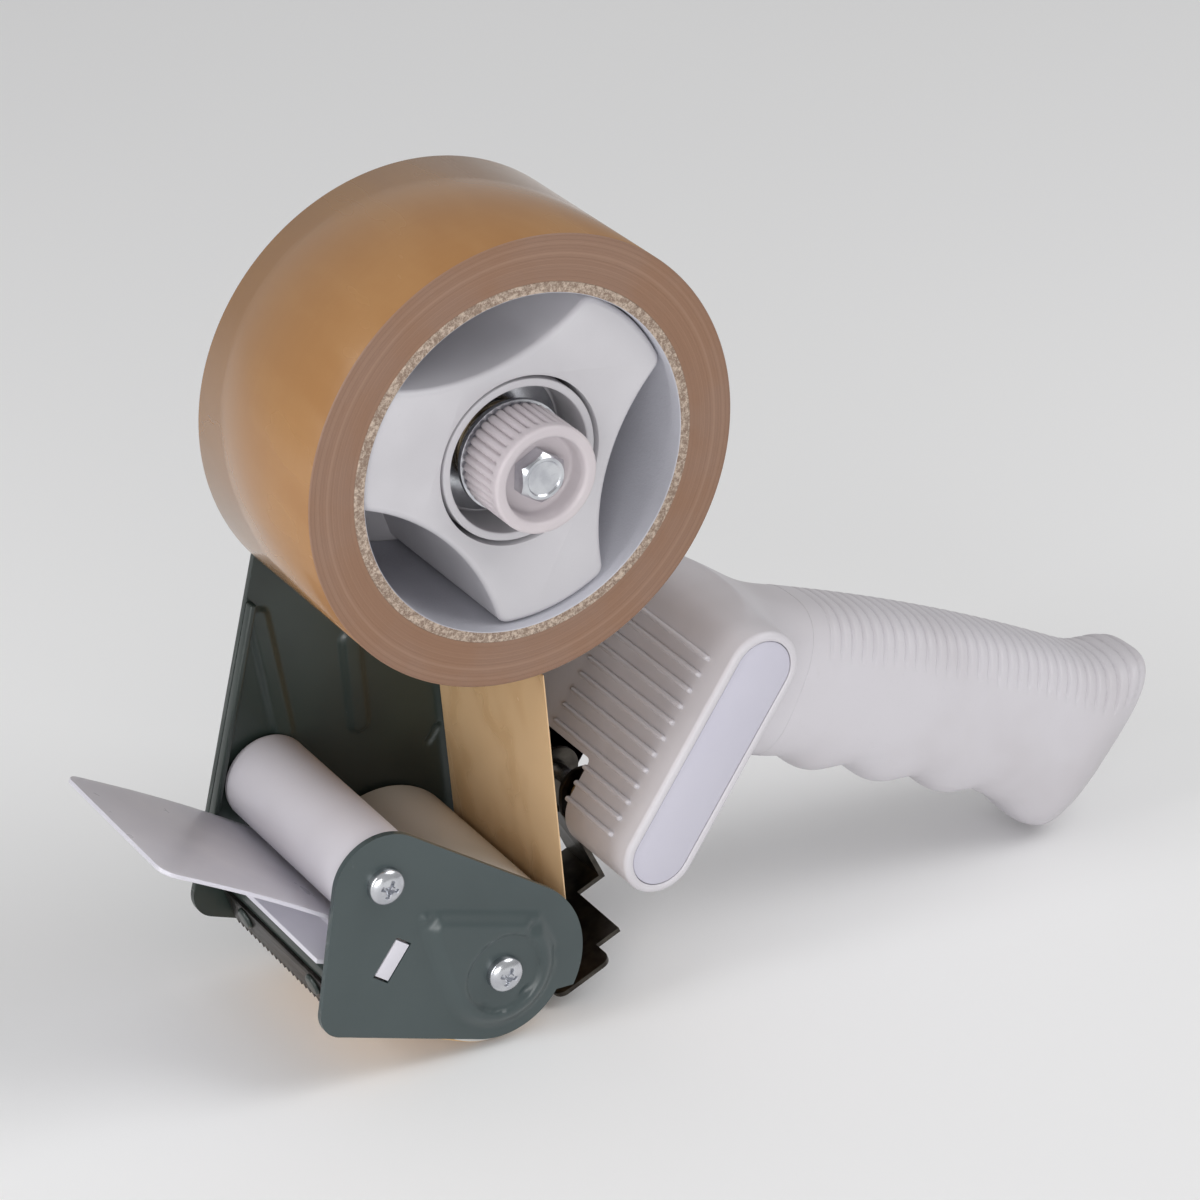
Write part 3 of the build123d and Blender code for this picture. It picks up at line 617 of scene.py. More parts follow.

# %% [markdown]
# What repeats in a row, such as ribs and screws, is one Geometry Nodes tree: a mesh
# line gives the places, one copied piece goes on each, and the tree ends in real
# geometry with its material. A second tree winds a coil spring from a spiral curve and
# a round wire.

# %% Node trees for rows and coils
def new_tree(name, sockets):
    """A geometry tree with named inputs, and what adds its nodes."""
    tree = bpy.data.node_groups.new(name, "GeometryNodeTree")
    tree.interface.new_socket("Geometry", in_out="OUTPUT", socket_type="NodeSocketGeometry")
    for label, kind in sockets.items():
        tree.interface.new_socket(label, in_out="INPUT", socket_type="NodeSocket" + kind)
    given = tree.nodes.new("NodeGroupInput")
    result = tree.nodes.new("NodeGroupOutput")

    def node(kind, settings=None, inputs=None):
        made = tree.nodes.new(kind)
        for key, value in (settings or {}).items():
            setattr(made, key, value)
        for key, value in (inputs or {}).items():
            if isinstance(value, bpy.types.NodeSocket):
                tree.links.new(value, made.inputs[key])
            else:
                made.inputs[key].default_value = value
        return made

    def end(geometry):
        """Makes instances real and sets the material."""
        real = node("GeometryNodeRealizeInstances", None, {"Geometry": geometry})
        painted = node("GeometryNodeSetMaterial", None, {
            "Geometry": real.outputs[0], "Material": given.outputs["Material"]})
        tree.links.new(painted.outputs[0], result.inputs["Geometry"])

    return tree, given.outputs, node, end


def row_tree():
    """Copies of one piece on a line of points."""
    tree, given, node, end = new_tree("row", {
        "Count": "Int", "First": "Vector", "Step": "Vector", "Copy": "Object", "Material": "Material"})
    line = node("GeometryNodeMeshLine", {"mode": "OFFSET"}, {
        "Count": given["Count"], "Start Location": given["First"], "Offset": given["Step"]})
    copy = node("GeometryNodeObjectInfo", None, {"Object": given["Copy"]})
    row = node("GeometryNodeInstanceOnPoints", None, {
        "Points": line.outputs[0], "Instance": copy.outputs["Geometry"]})
    end(row.outputs[0])
    return tree


def coil_tree():
    """A coil of round wire along z."""
    tree, given, node, end = new_tree("coil", {
        "Turns": "Float", "Radius": "Float", "Height": "Float", "Wire": "Float", "Material": "Material"})
    path = node("GeometryNodeCurveSpiral", None, {
        "Resolution": 48, "Rotations": given["Turns"], "Start Radius": given["Radius"],
        "End Radius": given["Radius"], "Height": given["Height"]})
    section = node("GeometryNodeCurvePrimitiveCircle", None, {"Resolution": 14, "Radius": given["Wire"]})
    wire = node("GeometryNodeCurveToMesh", None, {
        "Curve": path.outputs[0], "Profile Curve": section.outputs[0], "Fill Caps": True})
    end(wire.outputs[0])
    return tree


def grown(name, tree, **values):
    """A piece made by a tree with these inputs, as a plain mesh."""
    piece = bpy.data.objects.new(name, bpy.data.meshes.new(name))
    bpy.context.scene.collection.objects.link(piece)
    modifier = piece.modifiers.new(tree.name, "NODES")
    modifier.node_group = tree
    for item in tree.interface.items_tree:
        if item.in_out == "INPUT":
            modifier[item.identifier] = values[item.name]
    return baked(piece)


rows = row_tree()
coils = coil_tree()


def row_of(name, copy, count, first, step, material):
    """A row of copies of one piece, which is then thrown away."""
    row = grown(name, rows, Count=count, First=[v * mm for v in first], Step=[v * mm for v in step],
                Copy=copy, Material=material)
    bpy.data.objects.remove(copy)
    return row


def coil_of(name, at, radius, wire, turns, near, far, material):
    """A coil along y that just fits between near and far."""
    piece = grown(name, coils, Turns=turns, Radius=radius * mm, Height=(far - near - wire) * mm,
                  Wire=wire / 2 * mm, Material=material)
    stand = Matrix.Translation((at[0] * mm, (near + wire / 2) * mm, at[1] * mm))
    piece.data.transform(stand @ Matrix.Rotation(math.radians(-90), 4, "X"))
    return piece


print("trees:", rows.name, coils.name)

# %% [markdown]
# The roll comes first, because it fills most of the picture. Its outer edges are
# barely rounded, and the cut ends are not quite flat: every few layers one stands a
# hair proud, which draws the fine rings.

# %% Tape roll and core
ring_wave_mm = 0.05
core_low, core_high = reach_of("tape_core")
core_radius = (core_high[0] - core_low[0]) / 2
core_bore = 38.1
layers_seed = 7


def wound_profile():
    """The roll's section, with uneven layers at its two ends."""
    layers = np.random.default_rng(layers_seed)
    radii = np.linspace(core_radius, roll_radius - 0.25, 46)
    rises = layers.uniform(-ring_wave_mm, 0, (2, len(radii)))
    near = [(radius, rise - half_tape) for radius, rise in zip(radii, -rises[0])]
    far = [(radius, half_tape - rise) for radius, rise in zip(radii, -rises[1])]
    edge = [(roll_radius, 0.25 - half_tape), (roll_radius, half_tape - 0.25)]
    return near + edge + far[::-1]


roll = spun("wound_tape", hub_at, wound_profile(), 256)
roll.data.materials.append(roll_ends)
roll.data.materials.append(roll_face)
settle(roll, roll_ends, "tape", "tape_film", "tape_roll", sharp=50)
roll.data.materials.append(roll_face)
for face in roll.data.polygons:
    outward = Vector((face.center.x - hub_at[0] * mm, 0, face.center.z - hub_at[1] * mm)).normalized()
    face.material_index = 1 if face.normal.dot(outward) > 0.7 else 0
core_profile = [(core_radius - 0.02, -half_tape - 0.15), (core_radius - 0.02, half_tape),
                (core_bore, half_tape), (core_bore, -half_tape - 0.15)]
core = spun("paper_tube", hub_at, softened(core_profile, 0.25), 256)
settle(core, core_board, "tape", "paper_core", "tape_core", sharp=50)

# %% [markdown]
# The hub's solid already has its three lobes, pocket and rear shoulder, so a merged
# copy with softer edges is enough. The knob is spun with a radius that dips 36 times
# a turn, but only between its smooth front flange and its back edge.

# %% Hub, cup and knob
knob_low, knob_high = reach_of("brake_knob")
knob_radius = (knob_high[0] - knob_low[0]) / 2
knob_grooves = 36
knurl_depth = 0.75
flange_width = 2.2
recess_radius = 9.6
recess_depth = 5.0
knob_bore = 3.05


def knob():
    """The knurled knob with its smooth flange and round recess."""
    front, back = knob_low[1], knob_high[1]
    profile = softened([
        (knob_radius, front), (knob_radius, back), (knob_bore, back),
        (knob_bore, front + recess_depth), (recess_radius - 0.8, front + recess_depth),
        (recess_radius, front)], 0.9, 5)
    side = [(knob_radius, y) for y in np.linspace(front + flange_width, back - 0.6, 12)]
    first = next(i for i, (r, y) in enumerate(profile) if r == knob_radius or y > front + 0.5)
    profile = sorted_profile(profile, side, first)
    steps = knob_grooves * 10
    turns = np.linspace(0, 2 * math.pi, steps, endpoint=False)
    dip = (1 - np.abs(np.cos(turns * knob_grooves / 2))) ** 1.5 * knurl_depth
    points = []
    for radius, y in profile:
        inside = np.clip((y - front - flange_width) / 0.8, 0, 1) * (radius > knob_radius - 1.0)
        reach = radius - dip * inside
        points += [(hub_at[0] + r * math.cos(t), y, hub_at[1] + r * math.sin(t))
                   for r, t in zip(reach, turns)]
    return closed_piece("knurled_knob", points, ring_faces(len(profile), steps))


def sorted_profile(profile, side, first):
    """A profile with extra points put in along its outer side."""
    lead = [tuple(p) for p in profile if p[0] >= knob_radius - 1e-6 and p[1] < side[0][1]]
    body = [tuple(p) for p in profile]
    place = body.index(lead[-1]) + 1 if lead else first
    return body[:place] + side + body[place:]


settle(knob(), knob_plastic, "knob", "hub_plastic", "brake_knob", sharp=40)
dressed("tape_hub", hub_plastic, 0.5, "hub", "hub_plastic")
cup_low, cup_high = reach_of("brake_cup")
cup_radius = (cup_high[0] - cup_low[0]) / 2
cup_wall = 1.8
cup_floor = 1.2
cup_bore = 6.3
cup_profile = [(cup_bore, cup_high[1]), (cup_radius, cup_high[1]), (cup_radius, cup_low[1]),
               (cup_radius - cup_wall, cup_low[1]), (cup_radius - cup_wall, cup_high[1] - cup_floor),
               (cup_bore, cup_high[1] - cup_floor)]
settle(spun("light_cup", hub_at, softened(cup_profile, 0.4)), hub_plastic, "hub", "hub_plastic",
       "brake_cup", sharp=40)

# %% [markdown]
# The handle is one moulding: a flat oval block across the tool and a pistol grip that
# flows out of it. The flow is the hard part. Joining two meshes leaves a crease, so
# the grip is written as a distance formula instead: the block's distance and the
# grip's distance are melted together, and each point of a ring grid slides along the
# slope of that formula until it lies on the skin.

# %% Handle: the sizes
block_low = lever_pivot
block_high = hub_at + np.array([60.1, -61.6])
block_half = 9.5
block_near, block_far = reach_of("handle")[0][1], reach_of("handle")[1][1]
grip_root = hub_at + np.array([60.0, -72.0])
grip_angle = -22.35
grip_length = 135.0
grip_half_width = 16.2
grip_crown, grip_crown_at, grip_crown_drop, grip_crown_reach = 22.4, 70.0, 3.6, 62.0
tail_rise, tail_at, tail_spread = 4.8, 123.5, 8.0
grip_belly = 17.9
finger_pitch, finger_first, finger_depth, finger_humps, finger_fade = 21.6, 37.5, 3.0, 3, 3.0
heel_depth, heel_at, heel_spread = 6.3, 115.5, 11.5
grip_end, grip_end_slope, grip_end_bow, bow_start = 128.0, 0.12, 8.5, 110.0
grip_end_radius = 7.0
grip_end_tilt = 8.0
grip_squareness = 2.8
melt = 15.0
ghost_start = 1.0
block_shrink = 0.04
core_end_inset = 3.0
groove_pitch = 3.2
groove_depth, groove_half, ridge_round = 0.5, 0.6, 0.22
groove_first, groove_last = 25.5, 124.0


def soft_step(value):
    """A smooth rise from 0 to 1."""
    share = np.clip(value, 0, 1)
    return share * share * (3 - 2 * share)


def heading(degrees):
    """The unit (x, z) direction at an angle above +x."""
    return np.array([math.cos(math.radians(degrees)), math.sin(math.radians(degrees))])


block_line = block_high - block_low
block_angle = math.degrees(math.atan2(block_line[1], block_line[0]))
block_length = np.linalg.norm(block_line)
print("block at", block_angle, "degrees,", block_length, "between its centres")

# %% Handle: the formula
def grip_heights(s):
    """The grip's top and bottom height at a station s along its axis."""
    top = grip_crown - grip_crown_drop * ((s - grip_crown_at) / grip_crown_reach) ** 2
    top = top + tail_rise * np.exp(-((s - tail_at) / tail_spread) ** 2)
    start = finger_first - finger_pitch / 2
    end = start + finger_humps * finger_pitch
    inside = 1 / (1 + np.exp((start - s) / finger_fade)) / (1 + np.exp((s - end) / finger_fade))
    bottom = grip_belly + inside * finger_depth / 2 * np.cos(2 * math.pi * (s - finger_first) / finger_pitch)
    return top, bottom + heel_depth * np.exp(-((s - heel_at) / heel_spread) ** 2)


def on_grip(points):
    """Each point's station along the grip and its height above the grip's axis."""
    along = heading(grip_angle)
    rel = points[:, [0, 2]] - grip_root
    s0 = rel @ along
    up0 = rel @ np.array([-along[1], along[0]])
    s = s0
    for _ in range(3):
        lean = -np.radians(grip_end_tilt) * (np.clip(s, 0, None) / grip_length) ** 2
        s = s0 + up0 * np.tan(lean)
    return s, up0 * np.cos(lean) - (s0 - s) * np.sin(lean)


def grip_distance(points):
    """Roughly the distance to the grip's skin, less than 0 inside, with its fine grooves."""
    s, up = on_grip(points)
    top, bottom = grip_heights(np.clip(s, 0, grip_length))
    height = np.where(up > 0, top, bottom)
    power = grip_squareness
    size = ((np.abs(points[:, 1]) / grip_half_width) ** power + (np.abs(up) / height) ** power) ** (1 / power)
    side = (size - 1) * grip_half_width
    across = np.clip(np.abs(points[:, 1]) / grip_half_width, 0, 1)
    beyond = s - (grip_end + grip_end_slope * up - grip_end_bow * across ** 2)
    corner = np.hypot(np.clip(side + grip_end_radius, 0, None), np.clip(beyond + grip_end_radius, 0, None))
    return corner - grip_end_radius + np.clip(np.maximum(side, beyond) + grip_end_radius, None, 0)


def block_distance(points):
    """The distance to the cross block, an oval bar across the tool that stops short of the block's own ends."""
    rel = points[:, [0, 2]] - block_low
    share = np.clip(rel @ block_line / block_length ** 2, 0, 1)
    oval = np.linalg.norm(rel - share[:, None] * block_line, axis=1) - block_half
    near, far = block_near + core_end_inset, block_far - core_end_inset / 4
    return np.maximum(oval, np.maximum(near - points[:, 1], points[:, 1] - far))


def handle_distance(points):
    """Block and grip melted together."""
    s, _ = on_grip(points)
    a = np.maximum(grip_distance(points), ghost_start - s)
    b = block_distance(points) + block_shrink
    share = np.clip(melt - np.abs(a - b), 0, None) / melt
    return np.minimum(a, b) - share ** 3 * melt / 6


def slid_onto_skin(points, rounds=7, inset=0.0):
    """Points moved along the formula's slope until they lie this far inside the skin."""
    step = 0.05
    points = points.copy()
    for _ in range(rounds):
        value = handle_distance(points) + inset
        slope = np.stack([handle_distance(points + step * axis) - handle_distance(points - step * axis)
                          for axis in np.eye(3)], 1) / (2 * step)
        size = np.clip((slope ** 2).sum(1), 0.2, None)
        points -= slope * np.clip(value / size, -2, 2)[:, None]
    return points


print("formula ready")

# %% Handle: the grip's skin
ring_steps = 128
skin_start = 20.0
groove_level, groove_fade = 0.75, 0.06


def grip_rings():
    """Each guide ring's station and growth: along the grip, then round its end and in."""
    rings_made = [(s, 0.0) for s in np.arange(skin_start, grip_end - grip_end_radius, groove_pitch / 10)]
    for t in np.radians(np.linspace(4, 86, 16)):
        rings_made.append((grip_end - grip_end_radius * (1 - math.sin(t)), -grip_end_radius * (1 - math.cos(t))))
    return rings_made


def ring_points(s, grow):
    """One guide ring: the section at station s, grown outwards and bowed near the end."""
    turns = np.linspace(0, 2 * math.pi, ring_steps, endpoint=False)
    top, bottom = grip_heights(np.array([s]))
    c, n = np.cos(turns), np.sin(turns)
    height = np.where(n > 0, top, bottom)
    across = (grip_half_width + grow) * np.sign(c) * np.abs(c) ** (2 / grip_squareness)
    up = (height + grow) * np.sign(n) * np.abs(n) ** (2 / grip_squareness)
    bow = soft_step((s - bow_start) / (grip_end - bow_start))
    station = s + bow * (grip_end_slope * up - grip_end_bow * (across / grip_half_width) ** 2)
    lean = grip_angle - grip_end_tilt * (s / grip_length) ** 2
    places = grip_root + station[:, None] * heading(grip_angle) + up[:, None] * heading(lean + 90)
    return np.stack([places[:, 0], across, places[:, 1]], 1)


def grooves_cut(points):
    """Pushes the grip's top in by fine grooves that end a little way down its sides."""
    s, up = on_grip(points)
    top, bottom = grip_heights(np.clip(s, 0, grip_length))
    away = np.abs((s - groove_first + groove_pitch / 2) % groove_pitch - groove_pitch / 2)
    wave = groove_depth * soft_step(1 - away / groove_half) + ridge_round * (1 - 2 * away / groove_pitch) ** 2
    level = (up + bottom) / (top + bottom)
    fade = soft_step((level - groove_level) / groove_fade)
    ends = soft_step((s - groove_first + 1) / 1.5) * soft_step((groove_last + 1 - s) / 1.5)
    middle = grip_root + s[:, None] * heading(grip_angle)
    inward = np.stack([middle[:, 0] - points[:, 0], -points[:, 1], middle[:, 1] - points[:, 2]], 1)
    inward /= np.linalg.norm(inward, axis=1)[:, None]
    return points + inward * (wave * fade * ends)[:, None]


def grip():
    """The grip as one closed skin whose first ring is buried in the handle's core."""
    shapes = grip_rings()
    skin = grooves_cut(slid_onto_skin(np.concatenate([ring_points(s, grow) for s, grow in shapes])))
    middle = skin[:ring_steps].mean(0)
    first = middle + 0.9 * (skin[:ring_steps] - middle)
    last = skin[-ring_steps:]
    points = np.concatenate([first, skin, [first.mean(0)], [last.mean(0)]])
    rings_made = len(shapes) + 1
    faces = ring_faces(rings_made, ring_steps, closed=False)
    hub, end = rings_made * ring_steps, rings_made * ring_steps + 1
    top = (rings_made - 1) * ring_steps
    faces += [(hub, j, (j + 1) % ring_steps) for j in range(ring_steps)]
    faces += [(end, top + j, top + (j + 1) % ring_steps) for j in range(ring_steps)]
    return closed_piece("pistol_grip", points, faces)


settle(grip(), handle_plastic, "frame", "handle_plastic", "handle", sharp=60)

# %% [markdown]
# The saddle between block and grip has no rings to follow. There the same formula is
# sampled on a cubic grid: every grid edge that crosses the skin gives a point and a
# face, each cell takes the mean of its points, and the points then slide onto the skin
# as before. The result is a core that lies a hair inside the block and the grip.

# %% Handle: the core with its saddle
core_pitch = 0.9
core_inset = 0.05
stub_end = 22.5
core_low = np.array([block_low[0] - block_half - 2.4, block_near, block_low[1] - block_half - 2.4])
core_high = np.array([grip_root[0] + 36.0, block_far + 1.0, block_high[1] + block_half + 6.0])


def core_distance(points):
    """Block, saddle and the grip's first stretch, a hair inside their skin."""
    s, _ = on_grip(points)
    return np.maximum(handle_distance(points) + core_inset, s - stub_end)


def crossing_net(distance, low, high, pitch):
    """Points and four-sided faces where a distance formula changes sign on a cubic grid."""
    counts = ((high - low) / pitch).astype(int) + 1
    grid = np.stack(np.meshgrid(*(np.arange(count) for count in counts), indexing="ij"), -1).reshape(-1, 3)
    values = distance(low + pitch * grid).reshape(counts)
    total, number = np.zeros((values.size, 3)), np.zeros(values.size)
    stride = np.array([counts[1] * counts[2], counts[2], 1])
    faces = []
    for axis, step in enumerate(np.eye(3, dtype=int)):
        here = np.moveaxis(values, axis, 0)
        crossed = np.moveaxis((here[:-1] < 0) != (here[1:] < 0), 0, axis)
        cells = np.argwhere(crossed)
        before, after = values[tuple(cells.T)], values[tuple((cells + step).T)]
        places = low + pitch * (cells + step * (before / (before - after))[:, None])
        first = cells @ stride
        b, c = stride[(axis + 1) % 3], stride[(axis + 2) % 3]
        around = np.stack([first, first - b, first - b - c, first - c], 1)
        for k in range(4):
            np.add.at(total, around[:, k], places)
            np.add.at(number, around[:, k], 1)
        faces.append(around)
    used = number > 0
    index = np.cumsum(used) - 1
    return total[used] / number[used][:, None], index[np.concatenate(faces)]


def handle_core():
    """The core of the handle as one closed skin."""
    points, faces = crossing_net(core_distance, core_low, core_high, core_pitch)
    s, _ = on_grip(points)
    free = s < stub_end - 1
    points[free] = slid_onto_skin(points[free], rounds=4, inset=core_inset)
    return closed_piece("handle_core", points, faces.tolist())


print("core grid from", core_low, "to", core_high)

# %% [markdown]
# The cross block is an oval bar with a rounded near rim, a shallow seat for its end
# panel, the notch that clears the lever and its spring, and thirteen thin ribs with
# rounded ends. The ribs are one capsule on a row of points, sunk halfway into the
# block's front face.

# %% Handle: block, ribs and end panel
rib_count = 12
rib_pitch = 4.07
rib_first = -1.2
rib_near, rib_far = -22.0, 14.0
rib_width = 1.3
rib_height = 1.1
notch_near, notch_far = -3.0, 22.0
notch_rise = 9.0
rim_radius = 1.3
rim_width = 0.8
seat_depth = 0.25


def oval(half_width, steps=40):
    """The block's oval outline at this half width."""
    start = block_angle + 90
    ends = [(block_low, start), (block_high, start + 180)]
    return [tuple(centre + half_width * heading(first + turn))
            for centre, first in ends for turn in np.linspace(0, 180, steps)]


def on_block(along, front=0.0):
    """A place along the block's long axis and ahead of it, towards the roll."""
    return block_low + along * heading(block_angle) + front * heading(block_angle + 90)


def box_prism(name, low, high, front_low, front_high, near, far):
    """A box in the block's own directions."""
    corners = [on_block(low, front_low), on_block(high, front_low),
               on_block(high, front_high), on_block(low, front_high)]
    return prism(name, [tuple(corner) for corner in corners], near, far)


def cross_block():
    """The oval bar, rounded at its near rim, with its panel seat and its notch."""
    layers = [(block_half - 0.01, block_far)]
    layers += [(block_half, block_far - 0.4), (block_half, block_near + rim_radius)]
    for t in np.radians(np.linspace(12, 90, 9)):
        layers.append((block_half - rim_radius * (1 - math.cos(t)), block_near + rim_radius * (1 - math.sin(t))))
    inner = block_half - rim_radius - rim_width
    layers += [(inner + 0.3, block_near), (inner, block_near + 0.25), (inner - 0.02, block_near + 2.9)]
    steps = len(oval(block_half))
    points = [(x, y, z) for half_width, y in layers for x, z in oval(half_width)]
    faces = ring_faces(len(layers), steps, closed=False)
    faces += [tuple(range(steps)), tuple(range((len(layers) - 1) * steps, len(layers) * steps))]
    block = closed_piece("cross_block", points, faces)
    return carved(block, notch())


def notch():
    """The cutter for the gap that the lever and its spring stand in."""
    cutter = box_prism("notch", notch_rise - 30, notch_rise, -15, 15, notch_near, notch_far)
    return bevelled(cutter, 1.2, 3)


def rib():
    """One rib: a bar with round ends, as long as the rib and at the first rib's place."""
    half = rib_width / 2
    rows_made = []
    turns = np.radians(np.linspace(0, 360, 20, endpoint=False))
    for level, inset in [(-1.0, 0), (rib_height - half, 0), (rib_height - 0.3 * half, 0.35 * half),
                         (rib_height, 0.8 * half)]:
        for t in turns:
            across = (half - inset) * math.cos(t)
            reach = (rib_far - rib_near) / 2 - half + (half - inset) * abs(math.sin(t))
            y = (rib_near + rib_far) / 2 + math.copysign(reach, math.sin(t))
            x, z = on_block(across, block_half + level)
            rows_made.append((x - block_low[0], y, z - block_low[1]))
    faces = ring_faces(4, 20, closed=False) + [tuple(range(20)), tuple(range(60, 80))]
    return closed_piece("rib", rows_made, faces)


settle(cross_block(), handle_plastic, "frame", "handle_plastic", "handle", sharp=40)
settle(carved(handle_core(), notch()), handle_plastic, "frame", "handle_plastic", "handle", sharp=50)
first_rib = on_block(rib_first)
rib_step = rib_pitch * heading(block_angle)
rib_row = row_of("block_ribs", rib(), rib_count, (first_rib[0], 0, first_rib[1]),
                 (rib_step[0], 0, rib_step[1]), handle_plastic)
settle(carved(rib_row, notch()), handle_plastic, "frame", "handle_plastic", "handle", sharp=50)
panel_half = block_half - rim_radius - rim_width - 0.12
panel = prism("end_panel", oval(panel_half), block_near + seat_depth, block_near + 2.8)
settle(bevelled(panel, 0.3), panel_plastic, "frame", "handle_plastic", "handle_end_cap")

# %% [markdown]
# A pressed plate is a height field: a fine grid of points is pushed out by a formula
# for each pad, bead or dimple, with soft shoulders as a press tool leaves them, and
# the outline is then cut out of it. The pads are the hull of a few circles, whose
# distance comes from the farthest supporting line over many directions.

# %% Pressed plates: helpers
plate_thickness = plate_outer - plate_inner
grid_pitch = 0.55


def hull_distance(places, circles, directions=180):
    """The distance from (x, z) places to the hull of (x, z, radius) circles."""
    turns = np.linspace(0, 2 * math.pi, directions, endpoint=False)
    lines = np.stack([np.cos(turns), np.sin(turns)], 1)
    reach = np.max([lines @ np.array(circle[:2]) + circle[2] for circle in circles], axis=0)
    return (places @ lines.T - reach).max(1)


def hull_outline(circles, directions=300):
    """The outline of a belt round several circles."""
    made = []
    for turn in np.linspace(0, 2 * math.pi, directions, endpoint=False):
        line = np.array([math.cos(turn), math.sin(turn)])
        x, z, radius = max(circles, key=lambda circle: line @ np.array(circle[:2]) + circle[2])
        point = np.array([x, z]) + radius * line
        if not made or np.linalg.norm(point - made[-1]) > 0.02:
            made.append(point)
    return made


def pressed_sheet(name, low, high, face, side, height):
    """A sheet over a box of (x, z), whose outer face is at y = face and swells by height towards side."""
    xs = np.arange(low[0] - 2, high[0] + 2, grid_pitch)
    zs = np.arange(low[1] - 2, high[1] + 2, grid_pitch)
    grid = np.stack(np.meshgrid(xs, zs, indexing="ij"), -1).reshape(-1, 2)
    swell = height(grid)
    count = len(grid)
    outer = np.stack([grid[:, 0], face + side * swell, grid[:, 1]], 1)
    inner = np.stack([grid[:, 0], face + side * (swell - plate_thickness), grid[:, 1]], 1)
    rows, columns = len(xs), len(zs)
    cells = [(i * columns + j, (i + 1) * columns + j, (i + 1) * columns + j + 1, i * columns + j + 1)
             for i in range(rows - 1) for j in range(columns - 1)]
    faces = cells + [tuple(count + k for k in reversed(cell)) for cell in cells]
    rim = [i * columns for i in range(rows)] + [(rows - 1) * columns + j for j in range(1, columns)]
    rim += [i * columns + columns - 1 for i in range(rows - 2, -1, -1)] + list(range(columns - 2, 0, -1))
    faces += [(a, b, count + b, count + a) for a, b in zip(rim, rim[1:] + rim[:1])]
    return closed_piece(name, np.concatenate([outer, inner]), faces)


print("press ready")

# %% [markdown]
# The near cheek carries both rollers' screws. Its pad is a soft triangle with a dimple
# at each upper corner, and round the lower screw lies a shallow round dish, as the
# photograph shows. A slot lets the wiper bar's pale tab through.

# %% Near cheek
cheek_corner = hub_at + np.array([-43.4, -118.9])
cheek_head_radius, cheek_corner_radius, cheek_tail_radius, lobe_radius = 12.0, 6.3, 17.2, 21.0
lobe_drop = 9.2
pad_corners = [big_roller_at + np.array([-19.0, 18.3]), big_roller_at + np.array([8.4, 10.6])]
pad_radius, pad_corner_radius, pad_height, pad_shoulder = 14.8, 2.6, 2.2, 4.2
dimple_inset, dimple_depth, dimple_width = 1.5, 1.3, 1.5
dish_radius, dish_edge, dish_depth = 9.9, 0.9, 1.0
dent_places = [(8.5, -49.0), (8.5, -124.0), (13.6, 3.0)]
dent_depth, dent_length, dent_width = 0.5, 1.5, 0.7
wiper_bar_at = hub_at + np.array([-32.4, -109.3])
wiper_bar_angle = 55.7
slot_size = (10.2, 4.4)


def cheek_height(places):
    """How far the cheek is pressed out at each (x, z) place."""
    circles = [(*big_roller_at, pad_radius)] + [(*corner, pad_corner_radius) for corner in pad_corners]
    swell = pad_height * soft_step(-hull_distance(places, circles) / pad_shoulder)
    rel = places - big_roller_at
    radius = np.linalg.norm(rel, axis=1)
    swell -= dish_depth * soft_step((dish_radius - radius) / dish_edge)
    for corner in pad_corners:
        toward = (big_roller_at - corner) / np.linalg.norm(big_roller_at - corner)
        away = np.linalg.norm(places - corner - dimple_inset * toward, axis=1)
        swell -= dimple_depth * np.exp(-(away / dimple_width) ** 2)
    for reach, turn in dent_places:
        out, round_it = rel @ heading(turn) - reach, rel @ heading(turn + 90)
        swell -= dent_depth * np.exp(-(out / dent_width) ** 2 - (round_it / dent_length) ** 2)
    return swell


def turned_box(at, angle, size):
    """The corners of a rectangle at a place, turned by an angle."""
    u, v = heading(angle), heading(angle + 90)
    return [at + a * size[0] / 2 * u + b * size[1] / 2 * v for a, b in ((-1, -1), (1, -1), (1, 1), (-1, 1))]


def near_cheek():
    """The cheek cut out of its pressed sheet."""
    low, high = reach_of("near_cheek_plate")
    sheet = pressed_sheet("near_cheek", low[[0, 2]], high[[0, 2]], -plate_outer, -1, cheek_height)
    span = (-plate_outer - 4, -plate_inner + 3)
    body = [(*guide_roller_at, cheek_head_radius), (*cheek_corner, cheek_corner_radius),
            (*big_roller_at, cheek_tail_radius)]
    lobe = [(*guide_roller_at, cheek_head_radius), (*big_roller_at, lobe_radius)]
    bottom = big_roller_at[1] - lobe_drop
    cutter = prism("cheek_body", hull_outline(body), *span)
    ear = prism("cheek_lobe", hull_outline(lobe), *span)
    keep = prism("keep", turned_box(np.array([big_roller_at[0], bottom + 60]), 0, (200, 120)), span[0] - 1,
                 span[1] + 1)
    carved(cutter, carved(ear, keep, "INTERSECT"), "UNION")
    carved(sheet, cutter, "INTERSECT")
    carved(sheet, prism("slot", turned_box(wiper_bar_at, wiper_bar_angle, slot_size), *span))
    return bevelled(sheet, 0.22, 2, 50)


settle(near_cheek(), cheek_paint, "frame", "frame_paint", "near_cheek_plate", sharp=50)

# %% [markdown]
# The far side plate is one large sheet. Seen between the roll and the cheek it shows
# two pressed beads and a small slanted slot, and its front edge is turned in to
# stiffen it.

# %% Far side plate
frame_corner = hub_at + np.array([-45.8, -116.6])
frame_circles = [(*hub_at, 29.5), (*frame_corner, 6.5), (*big_roller_at, 17.2),
                 (*block_low, block_half), (*block_high, block_half)]
bead_lines = [((-36.0, -50.5), (-29.6, -80.5)), ((-13.0, -61.4), (-10.6, -82.5))]
bead_half, bead_height, bead_shoulder = 1.6, 0.8, 1.4
lip_low, lip_high = hub_at[1] - 106.0, hub_at[1] - 46.0
lip_depth, lip_width, lip_reach = 2.5, 1.5, 60.0
frame_slot_at = hub_at + np.array([8.5, -90.5])
frame_slot_half, frame_slot_depth = 2.0, 0.5


